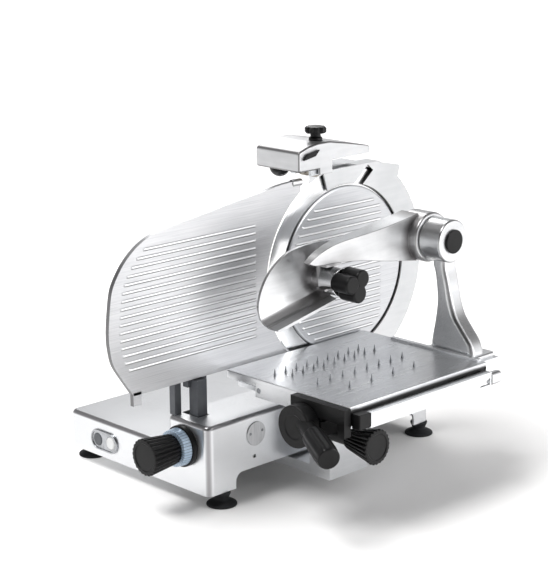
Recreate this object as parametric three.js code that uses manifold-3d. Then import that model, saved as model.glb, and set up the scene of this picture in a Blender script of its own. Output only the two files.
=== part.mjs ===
import * as THREE from "three";
import { mergeVertices } from "three/addons/utils/BufferGeometryUtils.js";
import Module from "manifold-3d";

// Vertical slicer with a sliding spiked table, in millimetres.
// X runs from the blade plane towards the table, Y away from the operator, Z up.
// The blade plane is X = 0 and the blade axis Y = 0 until the group is centred.

const gap = 0.3;
const reach = 400;

const base = {
  left: -295, step: -38, right: 61, front: -367, back: 163, bottom: 23.4,
  lowTop: 88.5, highTop: 139.3, wall: 4, corner: 13, edge: 7, spread: 6,
};
const arch = { front: -308, back: 122, top: 49, round: 14 };
const foot = { left: -281, right: 50, front: -330, back: 148, radius: 25, rim: 5, waist: 12, head: 15, neck: 14 };
const floorPlate = { thick: 2 };
const panel = { x: -200, z: 53, half: 17, radius: 18, proud: 2.6, lip: 3, back: 1.4, button: 11, travel: 3, stem: 9 };
const blank = { y: -264, z: 106, radius: 20, thick: 1.6 };
const lampHole = { y: -267, z: 68, radius: 3.2 };

const blade = { radius: 175, z: 322, back: -3.2, tip: -0.8, front: 2, heel: 142, bevel: 146, bore: 16 };
const cover = { inset: 31.4, back: 2.3, front: 6, ribInset: 10.6, ribEnd: 92, rim: 3 };
const coverRadius = blade.radius - cover.inset, ribRadius = coverRadius - cover.ribInset;
const rib = { high: 1.5, wide: 5.4, crest: 1.8, pitch: 12.3 };
const shaft = { radius: 14, bore: 6.5, end: -76, flange: 42, flangeBack: -14, spigot: 15.7 };
const tie = { radius: 5, knob: 22, knobEnd: -112, grip: 17 };
const drive = { z: 56, motor: 27, motorEnd: -240, motorFace: -100, shaftEnd: -61, shaftRadius: 6 };
const pulley = { back: -74, front: -62, big: 60, small: 22, web: 4 };
const belt = { thick: 4, back: -72, front: -64 };
const stand = {
  back: -84, wall: 6, front: -52, hub: 80, hollow: 74, half: 50, hollowHalf: 44, mouth: 32,
  spineFront: -20, spineBack: 60, face: -16, boss: 40, ball: 26, shield: 8, shieldEdge: -20, top: 497.7, cover: 3,
};
const guardLow = 0.185, guardTurn = 0.296;
const guard = { clear: 3.5, wall: 16.5, back: -15.7, lip: 4, front: 7, lipClear: 3.4 };
const guardInner = blade.radius + guard.clear, guardOuter = guardInner + guard.wall;
const lipRadius = coverRadius + guard.lipClear;
const earPoints = [[58, 470], [70, 487], [76, 495], [88, 495], [138, 484], [132, 462], [150, 432], [120, 430]];
const slotPoints = [[19, 465], [32, 453], [70, 484], [57, 495]];

const mount = { back: -40, near: -50, far: 40, top: 520, seat: 6 };
const housing = { back: -75, front: 26, bottom: 507, soft: 3.5, cheek: 6, cheekNear: -79, cheekLow: 498.3 };
const housingPoints = [
  [-128, 507], [-50.4, 507], [-50.4, 520.3], [42, 520.3], [42, 532], [-10, 543], [-55, 551],
  [-82, 551], [-106, 547.5], [-128, 540],
];
const stoneBay = { back: -31, front: 20, near: -99, far: -54, top: 538 };
const holder = {
  back: -29, front: 19, near: -93, far: -57, top: 533, bottom: 497, bridge: 8, rearLeg: -17, frontLeg: 13.5,
};
const stone = { radius: 16, y: -75, z: 508.6, clear: 4, hub: 6 };
const topKnob = { y: -63, radius: 18, high: 11, stem: 8.5, rise: 12, collar: 4, screw: 4, sink: 11.2, soft: 3 };
const stopKnob = { x: -50, y: -97, radius: 17.5, high: 18 };
const latch = { thick: 5, near: -120, far: -84, low: 527, high: 541, slope: 9 };

const gauge = { back: -8, bottom: 201, arcTop: 470, clear: 3, ribInset: 20, ribEnd: -201, ribLow: 244, pin: 6 };
const gaugeInner = blade.radius + gauge.clear;
const gaugePoints = [
  [-463, 201], [-486, 234], [-501, 259], [-507, 286], [-508, 310], [-505, 341], [-500, 371], [-492, 389],
  [-477, 410], [-459, 427], [-439, 440], [-415, 449], [-379, 456], [-317, 464], [-253, 473], [-187, 481],
  [-142, 487], [-100, 489],
];
const gaugeTab = { near: -464, far: -448, low: 184 };
const gaugePin = { near: -117, far: -94, z: 485 };
const bracket = {
  legFront: 8, legBack: -12, near: -340, far: -320, low: 92, top: 199, padBack: -20, padNear: -346,
  padFar: -306, padLow: 186, padTop: 290, shoe: 4, shoeTop: 124,
};
const slot = { back: -29, front: 11, margin: 2 };
const post = { back: -36, front: -23, near: -361, far: -348, top: 199 };
const guideBar = { y: -330, z: 108, radius: 6 };
const dial = { x: 4, z: 98, disc: 34, ring: 31, discThick: 9, ringThick: 15, step: 1.2 };
const knob = { long: 58, front: 30.5, back: 24.5, groove: 2, shaft: 7, shaftEnd: -346, hub: 12 };
const cam = { radius: 20, low: 13, near: -358, far: -346.5 };

const rail = { x: 22, z: 64, radius: 10, sideX: -16, sideRadius: 8 };
const arm = { back: -30, shoeFront: 44, near: -185, far: -96, low: 27, high: 44, shoeTop: 84, postBack: 104, postFront: 150 };
const bed = { back: 12, front: 270, near: -256, far: 30, low: 174, high: 182 };
const feedRod = { near: -236, far: 6, z: 189.5, radius: 6, block: 10, half: 9, top: 196.4 };
const table = {
  back: 9, front: 282, near: -278, far: 46, low: 197, high: 205, skirt: 6, step: 75, thinLow: 192, deepLow: 174,
  bar: 10, barBack: 80, barFront: 271, barHigh: 208.5, bushBack: 60, bushFront: 100, bushLow: 183,
  shelfBack: 142, shelfFront: 260, shelfFar: 106, shelfLow: 189, screw: 4.5, screwX: 84, screwZ: 186,
};
const spike = { high: 11, radius: 2.1, sink: 1 };
const spikeRows = [
  { x: 87, first: -245, pitch: 24.3, count: 9 }, { x: 108, first: -226, pitch: 24, count: 9 },
  { x: 168, first: -230, pitch: 28.3, count: 8 }, { x: 214, first: -206, pitch: 50.3, count: 4 },
];
const strip = {
  off: 4, wide: 14, web: 4, near: -250, far: 37, low: 170, high: 194, thick: 4, pitch: 5, depth: 3,
  lug: 12, lugHigh: 182, notch: 15,
};
const stripInner = table.front + strip.off, stripOuter = stripInner + strip.wide;
const stripStop = { near: -275, low: 171, high: 195, soft: 2 };
const cap = { long: 24.7, lead: 2, wide: 14, low: 171, high: 192, soft: 3 };

const crank = {
  x: 202, z: 164, hub: 34, hubFront: -318, hubBack: -294.3, shaft: 8, shaftEnd: -258, soft: 3,
  gripX: 100.5, gripY: -50, gripZ: -18.5, startX: 12, startZ: 6, centre: -306, neck: 13, grip: 19, boss: 30,
};
const crankPlate = {
  near: -294, far: -279.6, back: 172, front: 286, low: 180, high: 204, leg: 14, legLow: 160, webBack: 229.6,
  webFront: 237.4, webFar: -236, webLow: 150,
};
const gear = { radius: 25, tip: 1.9, root: 2.4, near: -270, far: -262 };
const rack = { back: 14, front: 272, top: 196.7 };
const lock = {
  y: -235, z: 135, front: 300, face: 28.5, heel: 16, cone: 58, neck: 12, neckEnd: 162, groove: 2,
  blockBack: 168, blockFront: 186, blockNear: -254, blockFar: -214, blockLow: 117, pin: 4, pinLow: 108,
};

const columnNear = 50, columnFar = 84;
const columnPoints = [
  [156, 203], [158, 222], [164, 253], [168, 289], [164, 330], [158, 352], [160, 385], [190, 385], [184, 352],
  [192, 318], [200, 287], [209, 265], [225, 245], [241, 226], [248, 207], [248, 203],
];
const flange = { back: 149, front: 254, near: 47, far: 104, high: 205, soft: 8 };
const pivot = { y: 60, z: 390, boss: 36, bossBack: 151, bossFront: 195, pin: 9, pinEnd: 100, cap: 20, capThick: 4 };
const press = {
  hub: 42, hubBack: 104, hubFront: 150.6, back: 96, front: 134, soft: 5, tipBack: 120, lean: -20, lugRadius: 17,
  lugThin: 103, lugFront: 118, lugStep: 371,
};
const armPoints = [
  [44, 431], [-6, 424], [-60, 418], [-146, 412], [-190, 401], [-214, 389], [-196, 383], [-150, 380], [-94, 374],
  [-30, 362], [40, 351],
];
const head = { y: -142, z: 347, bore: 11, boss: 16, bossFront: 95.6, thick: 5, near: -290, far: -80 };
const headRise = 0.2;
const headPoints = [
  [-95, 396], [-136, 405], [-171, 405], [-202, 402], [-220, 396], [-237, 385], [-253, 370], [-266, 350],
  [-274, 327], [-275, 306], [-269, 290], [-256, 284], [-239, 288], [-188, 299], [-150, 308], [-118, 330], [-95, 360],
];
const headSection = [[118, 288], [98, 290], [88, 301], [83, 325], [83, 362], [86, 388], [91, 408]];
const headKnob = {
  back: 136, front: 173, lobe: 15, lobeOffset: 14, lobeSoft: 3, core: 17, neck: 22.5, rodBack: 79, collar: 104,
};

// Shares of a pitch or of a length, and counts.
const neckShare = 0.34, swellShare = 0.6, lobeShare = 0.55, rootShare = 0.8, fluteShare = 0.75;
const knobLobes = 10, gripFlutes = 24, gearTeeth = 25, gaugeRibs = 16;

const wasm = await Module();
wasm.setup();

function solidOf(geometry) {
  const bare = new THREE.BufferGeometry();
  const flat = geometry.index ? geometry.toNonIndexed() : geometry;
  bare.setAttribute("position", flat.getAttribute("position"));
  const merged = mergeVertices(bare, gap / 3000);
  const p = merged.attributes.position.array;
  const index = [];
  let volume = 0;
  for (let i = 0; i < merged.index.count; i += 3) {
    const [a, b, c] = [0, 1, 2].map((k) => merged.index.array[i + k]);
    if (a === b || b === c || a === c) continue;
    index.push(a, b, c);
    const v = [a, b, c].map((k) => new THREE.Vector3(p[3 * k], p[3 * k + 1], p[3 * k + 2]));
    volume += v[0].dot(v[1].cross(v[2]));
  }
  if (volume < 0) for (let i = 0; i < index.length; i += 3) [index[i], index[i + 1]] = [index[i + 1], index[i]];
  return new wasm.Manifold(new wasm.Mesh({ numProp: 3, vertProperties: p, triVerts: new Uint32Array(index) }));
}

// Local x, y, z of an extruded or turned piece go to these world axes.
const frames = {
  x: new THREE.Matrix4().makeBasis(axisOf(1), axisOf(2), axisOf(0)),
  y: new THREE.Matrix4().makeBasis(axisOf(2), axisOf(0), axisOf(1)),
  z: new THREE.Matrix4(),
};

function axisOf(i) {
  return new THREE.Vector3(i === 0 ? 1 : 0, i === 1 ? 1 : 0, i === 2 ? 1 : 0);
}

function union(pieces) {
  return pieces.reduce((a, b) => a.add(b));
}

function cut(piece, tools) {
  return tools.reduce((a, b) => a.subtract(b), piece);
}

function box(x0, x1, y0, y1, z0, z1) {
  const g = new THREE.BoxGeometry(x1 - x0, y1 - y0, z1 - z0);
  return solidOf(g.translate((x0 + x1) / 2, (y0 + y1) / 2, (z0 + z1) / 2));
}

// Points are (y, z) along x, (x, z) along y and (x, y) along z.
function prism(axis, points, from, to, soft = 0, softSteps = 2) {
  const flat = points.map(([a, b]) => (axis === "y" ? new THREE.Vector2(b, a) : new THREE.Vector2(a, b)));
  const g = new THREE.ExtrudeGeometry(new THREE.Shape(flat), {
    depth: to - from - 2 * soft, bevelEnabled: soft > 0, bevelThickness: soft, bevelSize: soft,
    bevelOffset: -soft, bevelSegments: softSteps, curveSegments: 1,
  });
  return solidOf(g.translate(0, 0, from + soft).applyMatrix4(frames[axis]));
}

// A turned piece: profile points are (radius, place along the axis), closed by itself when it has a bore.
function turned(axis, profile, a, b, sides = 32) {
  const ring = profile[0][0] > 0 ? [...profile, profile[0]] : profile;
  const g = new THREE.LatheGeometry(ring.map(([r, h]) => new THREE.Vector2(r, h)), sides);
  g.rotateX(Math.PI / 2).applyMatrix4(frames[axis]);
  const [x, y, z] = axis === "x" ? [0, a, b] : axis === "y" ? [a, 0, b] : [a, b, 0];
  return solidOf(g.translate(x, y, z));
}

function rod(axis, from, to, a, b, radius, sides = 20) {
  return turned(axis, [[0, from], [radius, from], [radius, to], [0, to]], a, b, sides);
}

function ringRod(axis, from, to, a, b, outer, inner, sides = 24) {
  return turned(axis, [[inner, from], [outer, from], [outer, to], [inner, to]], a, b, sides);
}

function arcPoints(a, b, radius, start, end, steps) {
  return Array.from({ length: steps + 1 }, (_, i) => {
    const t = start + ((end - start) * i) / steps;
    return [a + radius * Math.cos(t), b + radius * Math.sin(t)];
  });
}

function roundedRect(x0, x1, y0, y1, r, steps = 4) {
  const q = Math.PI / 2;
  return [
    ...arcPoints(x1 - r, y1 - r, r, 0, q, steps), ...arcPoints(x0 + r, y1 - r, r, q, 2 * q, steps),
    ...arcPoints(x0 + r, y0 + r, r, 2 * q, 3 * q, steps), ...arcPoints(x1 - r, y0 + r, r, 3 * q, 4 * q, steps),
  ];
}

// The line round two discs of different size, the first above the second.
function loopPoints(a, b, radius, c, d, small, steps) {
  const far = Math.hypot(c - a, d - b);
  const lean = Math.asin((radius - small) / far);
  const down = Math.atan2(d - b, c - a);
  const side = Math.PI / 2 - lean;
  return [
    ...arcPoints(a, b, radius, down + side, down + 2 * Math.PI - side, steps),
    ...arcPoints(c, d, small, down - side, down + side, Math.ceil(steps / 2)),
  ];
}

function gearPoints(a, b, teeth, outer, inner, tipShare, rootShare) {
  const points = [];
  for (let i = 0; i < teeth; i++) {
    const mid = Math.PI / 2 + (2 * Math.PI * i) / teeth;
    const half = Math.PI / teeth;
    for (const [r, s] of [[inner, -rootShare], [outer, -tipShare], [outer, tipShare], [inner, rootShare]])
      points.push([a + r * Math.cos(mid + s * half), b + r * Math.sin(mid + s * half)]);
  }
  return points;
}

const bladeZ = blade.z;
const tau = 2 * Math.PI;

function baseHousing() {
  const deep = base.bottom - base.edge;
  const block = (x0, x1, top) =>
    prism("z", roundedRect(x0, x1, base.front, base.back, base.corner, 3), deep, top, base.edge, 2);
  const hollow = (x0, x1, top) =>
    box(x0 + base.wall, x1 - base.wall, base.front + base.wall, base.back - base.wall, deep, top - base.wall);
  const outer = union([block(base.left, base.right, base.lowTop), block(base.step, base.right, base.highTop)]);
  const archPoints = roundedRect(arch.front, arch.back, deep - arch.round, arch.top, arch.round, 3);
  return cut(outer, [
    hollow(base.left, base.right, base.lowTop),
    hollow(base.step, base.right, base.highTop),
    box(base.left, base.right, base.front, base.back, deep, base.bottom),
    prism("x", archPoints, base.right - base.wall - base.spread, base.right + base.spread),
    box(slot.back, slot.front, bracket.near - slot.margin, bracket.far + slot.margin, base.lowTop, base.highTop + gap),
    box(stand.back + stand.wall, stand.front - stand.wall, -stand.mouth, stand.mouth, base.lowTop - 2 * base.wall,
      base.lowTop + gap),
    rod("y", base.front - base.spread, base.front + base.spread, dial.x, dial.z, knob.shaft + gap),
    rod("x", base.right - base.spread, base.right + base.spread, lampHole.y, lampHole.z, lampHole.radius, 16),
    prism("y", panelOutline(panel.radius - panel.lip), base.front - base.spread, base.front + base.spread),
  ]);
}

function panelOutline(radius) {
  return loopPoints(panel.x - panel.half, panel.z, radius, panel.x + panel.half, panel.z, radius, 12);
}

function floorCover() {
  const { wall, left, step, front, back, bottom } = base;
  const inset = wall + gap;
  return box(left + inset, step - inset, front + inset, back - inset, bottom, bottom + floorPlate.thick);
}

function footAt(x, y) {
  const top = base.bottom - gap;
  return turned("z", [
    [0, 0], [foot.radius, 0], [foot.radius, foot.rim / 2], [foot.radius - foot.rim / 2, foot.rim],
    [foot.waist, foot.neck], [foot.head, top - gap], [foot.head, top], [0, top],
  ], x, y, 20);
}

function switchBezel() {
  const shell = prism("y", panelOutline(panel.radius), base.front - gap - panel.proud, base.front - gap);
  const recess = prism("y", panelOutline(panel.radius - panel.lip), base.front - base.spread, base.front - panel.back);
  const seats = [panel.x - panel.half + gap, panel.x + panel.half - gap].map((x) =>
    rod("y", base.front - base.spread, base.front, x, panel.z, panel.button + gap, 24));
  return cut(shell, [recess, ...seats]);
}

function pushButton(x) {
  const face = base.front - panel.proud;
  return turned("y", [
    [0, face - gap], [panel.button - gap * 3, face - gap], [panel.button, face + panel.travel / 2],
    [panel.button, face + panel.travel + panel.stem], [0, face + panel.travel + panel.stem],
  ], x, panel.z, 24);
}

function blankPlate() {
  return rod("x", base.right + gap, base.right + gap + blank.thick, blank.y, blank.z, blank.radius, 32);
}

function bladeDisc() {
  return turned("x", [
    [blade.bore, blade.back], [blade.heel, blade.back], [blade.radius, blade.tip], [blade.radius, 0],
    [blade.bevel, blade.front], [blade.bore, blade.front],
  ], 0, bladeZ, 60);
}

function ribBar(y0, y1, z, x) {
  const half = rib.wide / 2, crest = rib.crest / 2;
  return prism("y", [[x - gap, z - half], [x, z - half], [x + rib.high, z - crest], [x + rib.high, z + crest],
    [x, z + half], [x - gap, z + half]], y0, y1);
}

function bladeCover() {
  const disc = turned("x", [
    [0, cover.back], [coverRadius, cover.back], [coverRadius, cover.front - cover.rim / 2],
    [coverRadius - cover.rim, cover.front], [0, cover.front],
  ], 0, bladeZ, 48);
  const ribs = [];
  const count = Math.floor(ribRadius / rib.pitch) - 1;
  for (let i = -count; i <= count; i++) {
    const rise = i * rib.pitch;
    const reachY = Math.sqrt(ribRadius ** 2 - rise ** 2);
    ribs.push(ribBar(-reachY, Math.min(cover.ribEnd, reachY), bladeZ + rise, cover.front));
  }
  return union([disc, ...ribs]);
}

function bladeShaft() {
  return turned("x", [
    [shaft.bore, shaft.end], [shaft.radius, shaft.end], [shaft.radius, shaft.flangeBack],
    [shaft.flange, shaft.flangeBack], [shaft.flange, blade.back - gap], [shaft.spigot, blade.back - gap],
    [shaft.spigot, blade.front - gap], [shaft.bore, blade.front - gap],
  ], 0, bladeZ, 24);
}

function tieKnob() {
  const seat = stand.back - stand.cover - 2 * gap;
  const outline = gearPoints(0, bladeZ, knobLobes, tie.knob, tie.knob - rib.crest, lobeShare, rootShare);
  return union([prism("x", outline, tie.knobEnd, tie.knobEnd + tie.grip, rib.crest / 2, 1),
    rod("x", tie.knobEnd + tie.grip / 2, seat, 0, bladeZ, tie.grip),
    rod("x", seat - gap, cover.back - gap, 0, bladeZ, tie.radius, 16)]);
}

function motorBody() {
  const { motor, motorEnd, motorFace, z } = drive;
  const floor = base.bottom + floorPlate.thick + gap;
  return union([
    rod("x", motorEnd, motorFace, 0, z, motor, 32), rod("x", motorFace - gap, drive.shaftEnd, 0, z, drive.shaftRadius),
    box(motorEnd + motor, motorFace - motor, -motor * 0.8, motor * 0.8, floor, z - motor * 0.5),
  ]);
}

function pulleyWheel(z, radius, bore) {
  const { back, front, web } = pulley;
  const flangeRadius = radius + belt.thick / 2;
  return turned("x", [
    [bore, back], [flangeRadius, back], [flangeRadius, belt.back - gap], [radius, belt.back - gap],
    [radius, belt.front + gap], [flangeRadius, belt.front + gap], [flangeRadius, front], [bore + web, front],
    [bore, front],
  ], 0, z, 24);
}

function driveBelt() {
  const loop = (extra) =>
    loopPoints(0, bladeZ, pulley.big + extra, 0, drive.z, pulley.small + extra, 36);
  return prism("x", loop(gap + belt.thick), belt.back, belt.front)
    .subtract(prism("x", loop(gap), belt.back - gap, belt.front + gap));
}

function standOutline(radius, half, low) {
  return [...arcPoints(0, bladeZ, radius, -0.12 * tau / 2, 1.12 * tau / 2, 20), [-half, low], [half, low]];
}

function bladeStand() {
  const floor = base.lowTop + gap;
  const face = stand.front - stand.wall;
  const shell = union([
    prism("x", standOutline(stand.hub, stand.half, floor), stand.back, stand.front),
    box(face, stand.face, stand.spineFront, stand.spineBack, base.highTop + gap, stand.top),
    rod("x", face, stand.face - gap, 0, bladeZ, stand.boss, 36),
    prism("x", arcPoints(0, bladeZ, guardOuter, -tau / 4, tau / 4, 40), stand.face - stand.shield, stand.face)
      .add(box(stand.face - stand.shield, stand.face, stand.shieldEdge, gap, bladeZ - guardInner, bladeZ + guardInner))
      .intersect(box(-reach, reach, -reach, reach, base.highTop + gap, stand.top)),
  ]);
  const inside = standOutline(stand.hollow, stand.hollowHalf, floor - stand.wall);
  return cut(shell, [
    prism("x", inside, stand.back - gap, face),
    rod("x", stand.back, 0, 0, bladeZ, stand.ball + gap, 32),
    box(face - gap, base.step - gap, stand.spineFront - gap, stand.spineBack + gap, floor - gap, base.highTop),
  ]);
}

function standCover() {
  const sheet = prism("x", standOutline(stand.hub, stand.half, base.lowTop + gap), stand.back - gap - stand.cover,
    stand.back - gap);
  return sheet.subtract(rod("x", -reach, 0, 0, bladeZ, tie.radius + gap));
}

function ringGuard() {
  const wallRing = turned("x", [[guardInner, guard.back], [guardOuter, guard.back], [guardOuter, guard.front],
    [lipRadius, guard.front], [lipRadius, guard.lip], [guardInner, guard.lip]], 0, bladeZ, 60);
  const sweep = [[0, bladeZ], ...arcPoints(0, bladeZ, reach, -guardLow * tau, guardTurn * tau, 8)];
  const ring = wallRing.intersect(prism("x", sweep, guard.back - gap, guard.front + gap));
  const lug = prism("x", earPoints, guard.lip, guard.front);
  return ring.add(lug)
    .intersect(box(-reach, reach, -reach, reach, base.highTop + gap, stand.top))
    .subtract(prism("x", slotPoints, guard.lip - gap, guard.front + gap));
}

function sharpenerHousing() {
  const shell = prism("x", housingPoints, housing.back, housing.front, housing.soft, 3);
  const foreCut = box(-reach, reach, mount.near - gap, reach, 0, mount.top + gap);
  const bay = box(stoneBay.back, stoneBay.front, stoneBay.near, stoneBay.far, 0, stoneBay.top);
  const stemHole = rod("z", stoneBay.top - gap, reach * 2, 0, topKnob.y, topKnob.stem + gap);
  const low = housing.cheekLow, high = mount.top + mount.seat;
  return union([
    cut(shell, [foreCut, bay, stemHole]), box(mount.back, housing.front, mount.near, mount.far, low, high),
    box(housing.front - housing.cheek, housing.front, housing.cheekNear, mount.far, low, high),
  ]);
}

function stoneHolder() {
  const { back, front, near, far, top, bottom, bridge, rearLeg, frontLeg } = holder;
  return union([
    box(back, front, near, far, top - bridge, top), box(back, rearLeg, near, far, bottom, top),
    box(frontLeg, front, near, far, bottom, top),
    rod("x", rearLeg - gap, rearLeg + gap + (frontLeg - rearLeg) / 4, stone.y, stone.z, stone.hub - gap, 16),
    rod("x", frontLeg - (frontLeg - rearLeg) / 4, frontLeg + gap, stone.y, stone.z, stone.hub - gap, 16),
  ]).subtract(rod("z", top - topKnob.sink, top + gap, 0, topKnob.y, topKnob.screw + gap, 16));
}

function grindingStone(back, front) {
  return ringRod("x", back, front, stone.y, stone.z, stone.radius, stone.hub, 24);
}

function sharpenerKnob() {
  const { radius, high, stem, rise, collar, screw, sink, soft, y } = topKnob;
  const seat = housingTop() + gap, neck = seat + rise;
  const outline = gearPoints(0, y, knobLobes, radius, radius - soft / 2, lobeShare, rootShare);
  return union([
    prism("z", outline, neck, neck + high, soft / 2, 1), rod("z", stoneBay.top + gap, neck + soft, 0, y, stem),
    rod("z", seat, seat + collar, 0, y, stem + soft), rod("z", holder.top - sink, neck, 0, y, screw, 16),
  ]);
}

function housingTop() {
  return housingPoints[6][1];
}

function stopKnobDome() {
  const top = housing.bottom - gap;
  const dome = arcPoints(0, 0, 1, -tau / 4, 0, 4).map(([c, s]) => [stopKnob.radius * c, top + stopKnob.high * s]);
  return turned("z", [...dome, [0, top]], stopKnob.x, stopKnob.y, 20);
}

function sharpenerLatch() {
  const x = housing.front + gap;
  const { near, far, low, high, slope, thick } = latch;
  return prism("x", [[near, low], [far - slope, low + slope / 2], [far, high], [near + slope, high - slope / 2]], x,
    x + thick, gap * 3, 1);
}

function gaugePlate() {
  const arcStart = Math.asin((gauge.bottom - bladeZ) / gaugeInner);
  const arcTop = Math.PI - Math.asin((gauge.arcTop - bladeZ) / gaugeInner);
  const edge = arcPoints(0, bladeZ, gaugeInner, arcTop, Math.PI - arcStart, 20);
  const sheet = prism("x", [...gaugePoints, [edge[0][0], gaugePoints[gaugePoints.length - 1][1]], ...edge],
    gauge.back, 0);
  const ribs = [];
  for (let i = 0; i < gaugeRibs; i++) {
    const z = gauge.ribLow + i * rib.pitch;
    ribs.push(ribBar(outlineAt(z) + gauge.ribInset, gauge.ribEnd, z, 0));
  }
  const tab = box(gauge.back, 0, gaugeTab.near, gaugeTab.far, gaugeTab.low, gauge.bottom + rib.wide);
  const pin = rod("y", gaugePin.near, gaugePin.far, gauge.back / 2, gaugePin.z, gauge.pin, 16);
  return union([sheet, ...ribs, tab, pin]);
}

// Where the rounded side of the gauge plate is at height z.
function outlineAt(z) {
  for (let i = 1; i < gaugePoints.length; i++) {
    const [y0, z0] = gaugePoints[i - 1], [y1, z1] = gaugePoints[i];
    if (z <= z1) return y0 + ((y1 - y0) * (z - z0)) / (z1 - z0);
  }
  return gaugePoints[0][0];
}

function gaugeBracket() {
  const b = bracket;
  const body = union([
    box(b.legBack, b.legFront, b.near, b.far, b.low, b.top),
    box(b.padBack, gauge.back - gap, b.padNear, b.padFar, b.padLow, b.padTop),
    box(b.legBack - b.shoe, b.legFront + b.shoe, b.near, b.far, b.low, b.shoeTop),
  ]);
  return body.subtract(rod("x", -reach, reach, guideBar.y, guideBar.z, guideBar.radius + gap));
}

function thicknessKnob() {
  const near = base.front - gap - dial.discThick - dial.ringThick - 2 * gap;
  const tip = near - knob.long;
  const rings = gearPoints(0, 0, gripFlutes, 1, 1 - knob.groove / knob.front, lobeShare, fluteShare);
  const crown = taperedPrism(rings, knob.front, knob.back, tip, near);
  const stem = rod("y", near - knob.hub, knob.shaftEnd, 0, 0, knob.shaft);
  return union([crown, stem]).translate([dial.x, 0, dial.z]).add(gaugeCam());
}

// A fluted cone along y: a unit outline drawn at one radius in front and another behind.
function taperedPrism(outline, frontRadius, backRadius, from, to) {
  const n = outline.length, p = [], t = [];
  for (const [y, r] of [[from, frontRadius], [to, backRadius]])
    for (const [a, b] of outline) p.push(a * r, y, b * r);
  p.push(0, from, 0, 0, to, 0);
  for (let i = 0; i < n; i++) {
    const j = (i + 1) % n;
    t.push(i, j, n + j, i, n + j, n + i, 2 * n, j, i, 2 * n + 1, n + i, n + j);
  }
  const g = new THREE.BufferGeometry();
  g.setAttribute("position", new THREE.BufferAttribute(new Float32Array(p), 3));
  g.setIndex(t);
  return solidOf(g);
}

function dialDisc() {
  return ringRod("y", base.front - gap - dial.discThick, base.front - gap, dial.x, dial.z, dial.disc,
    knob.shaft + gap, 32);
}

function dialRing() {
  const far = base.front - 2 * gap - dial.discThick;
  return turned("y", [
    [knob.shaft + gap, far], [dial.ring, far], [dial.ring - dial.step, far - dial.ringThick],
    [knob.shaft + gap, far - dial.ringThick],
  ], dial.x, dial.z, 32);
}

function gaugeCam() {
  const outline = Array.from({ length: 28 }, (_, i) => {
    const t = (tau * i) / 28;
    const r = cam.low + ((cam.radius - cam.low) * (1 - Math.cos(t))) / 2;
    return [dial.x + r * Math.cos(t), dial.z + r * Math.sin(t)];
  });
  return prism("y", outline, cam.near, cam.far);
}

function carriageArm() {
  const a = arm;
  const body = union([
    box(a.back, a.postFront, a.near, a.far, a.low, a.high), box(a.back, a.shoeFront, a.near, a.far, a.low, a.shoeTop),
    box(a.postBack, a.postFront, a.near, a.far, a.low, bed.low - gap),
  ]);
  return cut(body, [
    rod("y", -reach, reach, rail.x, rail.z, rail.radius + gap),
    rod("y", -reach, reach, rail.sideX, rail.z, rail.sideRadius + gap),
  ]);
}

function carriagePlate() {
  const pieces = [box(bed.back, bed.front, bed.near, bed.far, bed.low, bed.high)];
  for (const y of [feedRod.near, feedRod.far])
    for (const [x0, x1] of [[bed.back, bed.back + feedRod.block], [bed.front - feedRod.block, bed.front]])
      pieces.push(box(x0, x1, y - feedRod.half, y + feedRod.half, bed.high - gap, feedRod.top));
  return cut(union(pieces), [feedRod.near, feedRod.far].map((y) =>
    rod("x", bed.back - gap, bed.front + gap, y, feedRod.z, feedRod.radius + gap)));
}

function productTable() {
  const t = table;
  const pieces = [
    box(t.back, t.front, t.near, t.far, t.low, t.high),
    box(t.back, t.step, t.near, t.near + t.skirt, t.thinLow, t.high),
    box(t.step, t.front, t.near, t.near + t.skirt, t.deepLow, t.high),
    box(t.front - t.skirt, t.front, t.near, t.far, t.deepLow, t.high),
    box(t.back, t.front, t.far - t.skirt, t.far, t.thinLow, t.high),
    box(t.barBack, t.barFront, t.far - t.bar, t.far, t.low, t.barHigh),
    box(t.shelfBack, t.shelfFront, t.far - t.skirt, t.shelfFar, t.shelfLow, t.low),
    rod("y", t.near - gap * 4, t.near + gap, t.screwX, t.screwZ, t.screw, 16),
  ];
  for (const y of [feedRod.near, feedRod.far])
    pieces.push(box(t.bushBack, t.bushFront, y - feedRod.half, y + feedRod.half, t.bushLow, t.low + gap)
      .subtract(rod("x", t.bushBack - gap, t.bushFront + gap, y, feedRod.z, feedRod.radius + gap)));
  for (const row of spikeRows)
    for (let i = 0; i < row.count; i++)
      pieces.push(turned("z", [[0, t.high - spike.sink], [spike.radius, t.high - spike.sink],
        [0, t.high + spike.high]], row.x, row.first + i * row.pitch, 6));
  return union(pieces);
}

function toothedStrip() {
  const s = strip;
  const edge = [[stripOuter, s.near], [stripOuter, s.far]];
  const teeth = Math.floor((s.far - s.near) / s.pitch);
  const pitch = (s.far - s.near) / teeth;
  for (let i = 0; i < teeth; i++)
    edge.push([stripInner + s.depth, s.far - i * pitch], [stripInner, s.far - (i + lobeShare) * pitch]);
  edge.push([stripInner + s.depth, s.near]);
  const lug = (near) => box(table.front + gap, stripOuter - gap, near, near + s.lug, s.low, s.lugHigh);
  const body = union([
    prism("z", edge, s.high - s.thick, s.high), box(stripOuter - s.web, stripOuter, s.near, s.far, s.low, s.high),
    lug(s.near + s.lug), lug(s.far - 3 * s.lug),
  ]);
  const window = [[s.far - 2 * s.notch, s.low + s.notch / 4], [s.far - s.notch / 4, s.low + s.notch],
    [s.far - s.notch / 4, s.low + s.notch / 4]];
  return body.subtract(prism("x", window, stripOuter - 2 * s.web, stripOuter + gap));
}

function stripEndStop() {
  const b = stripStop;
  return prism("y", roundedRect(table.front + gap, stripOuter, b.low, b.high, b.soft, 2), b.near, strip.near - gap, b.soft, 1);
}

function stripCap() {
  const c = cap, back = stripInner + c.lead;
  return prism("y", roundedRect(back, back + c.wide, c.low, c.high, c.soft * 2, 3), strip.far + gap,
    strip.far + gap + c.long, c.soft, 2);
}

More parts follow.
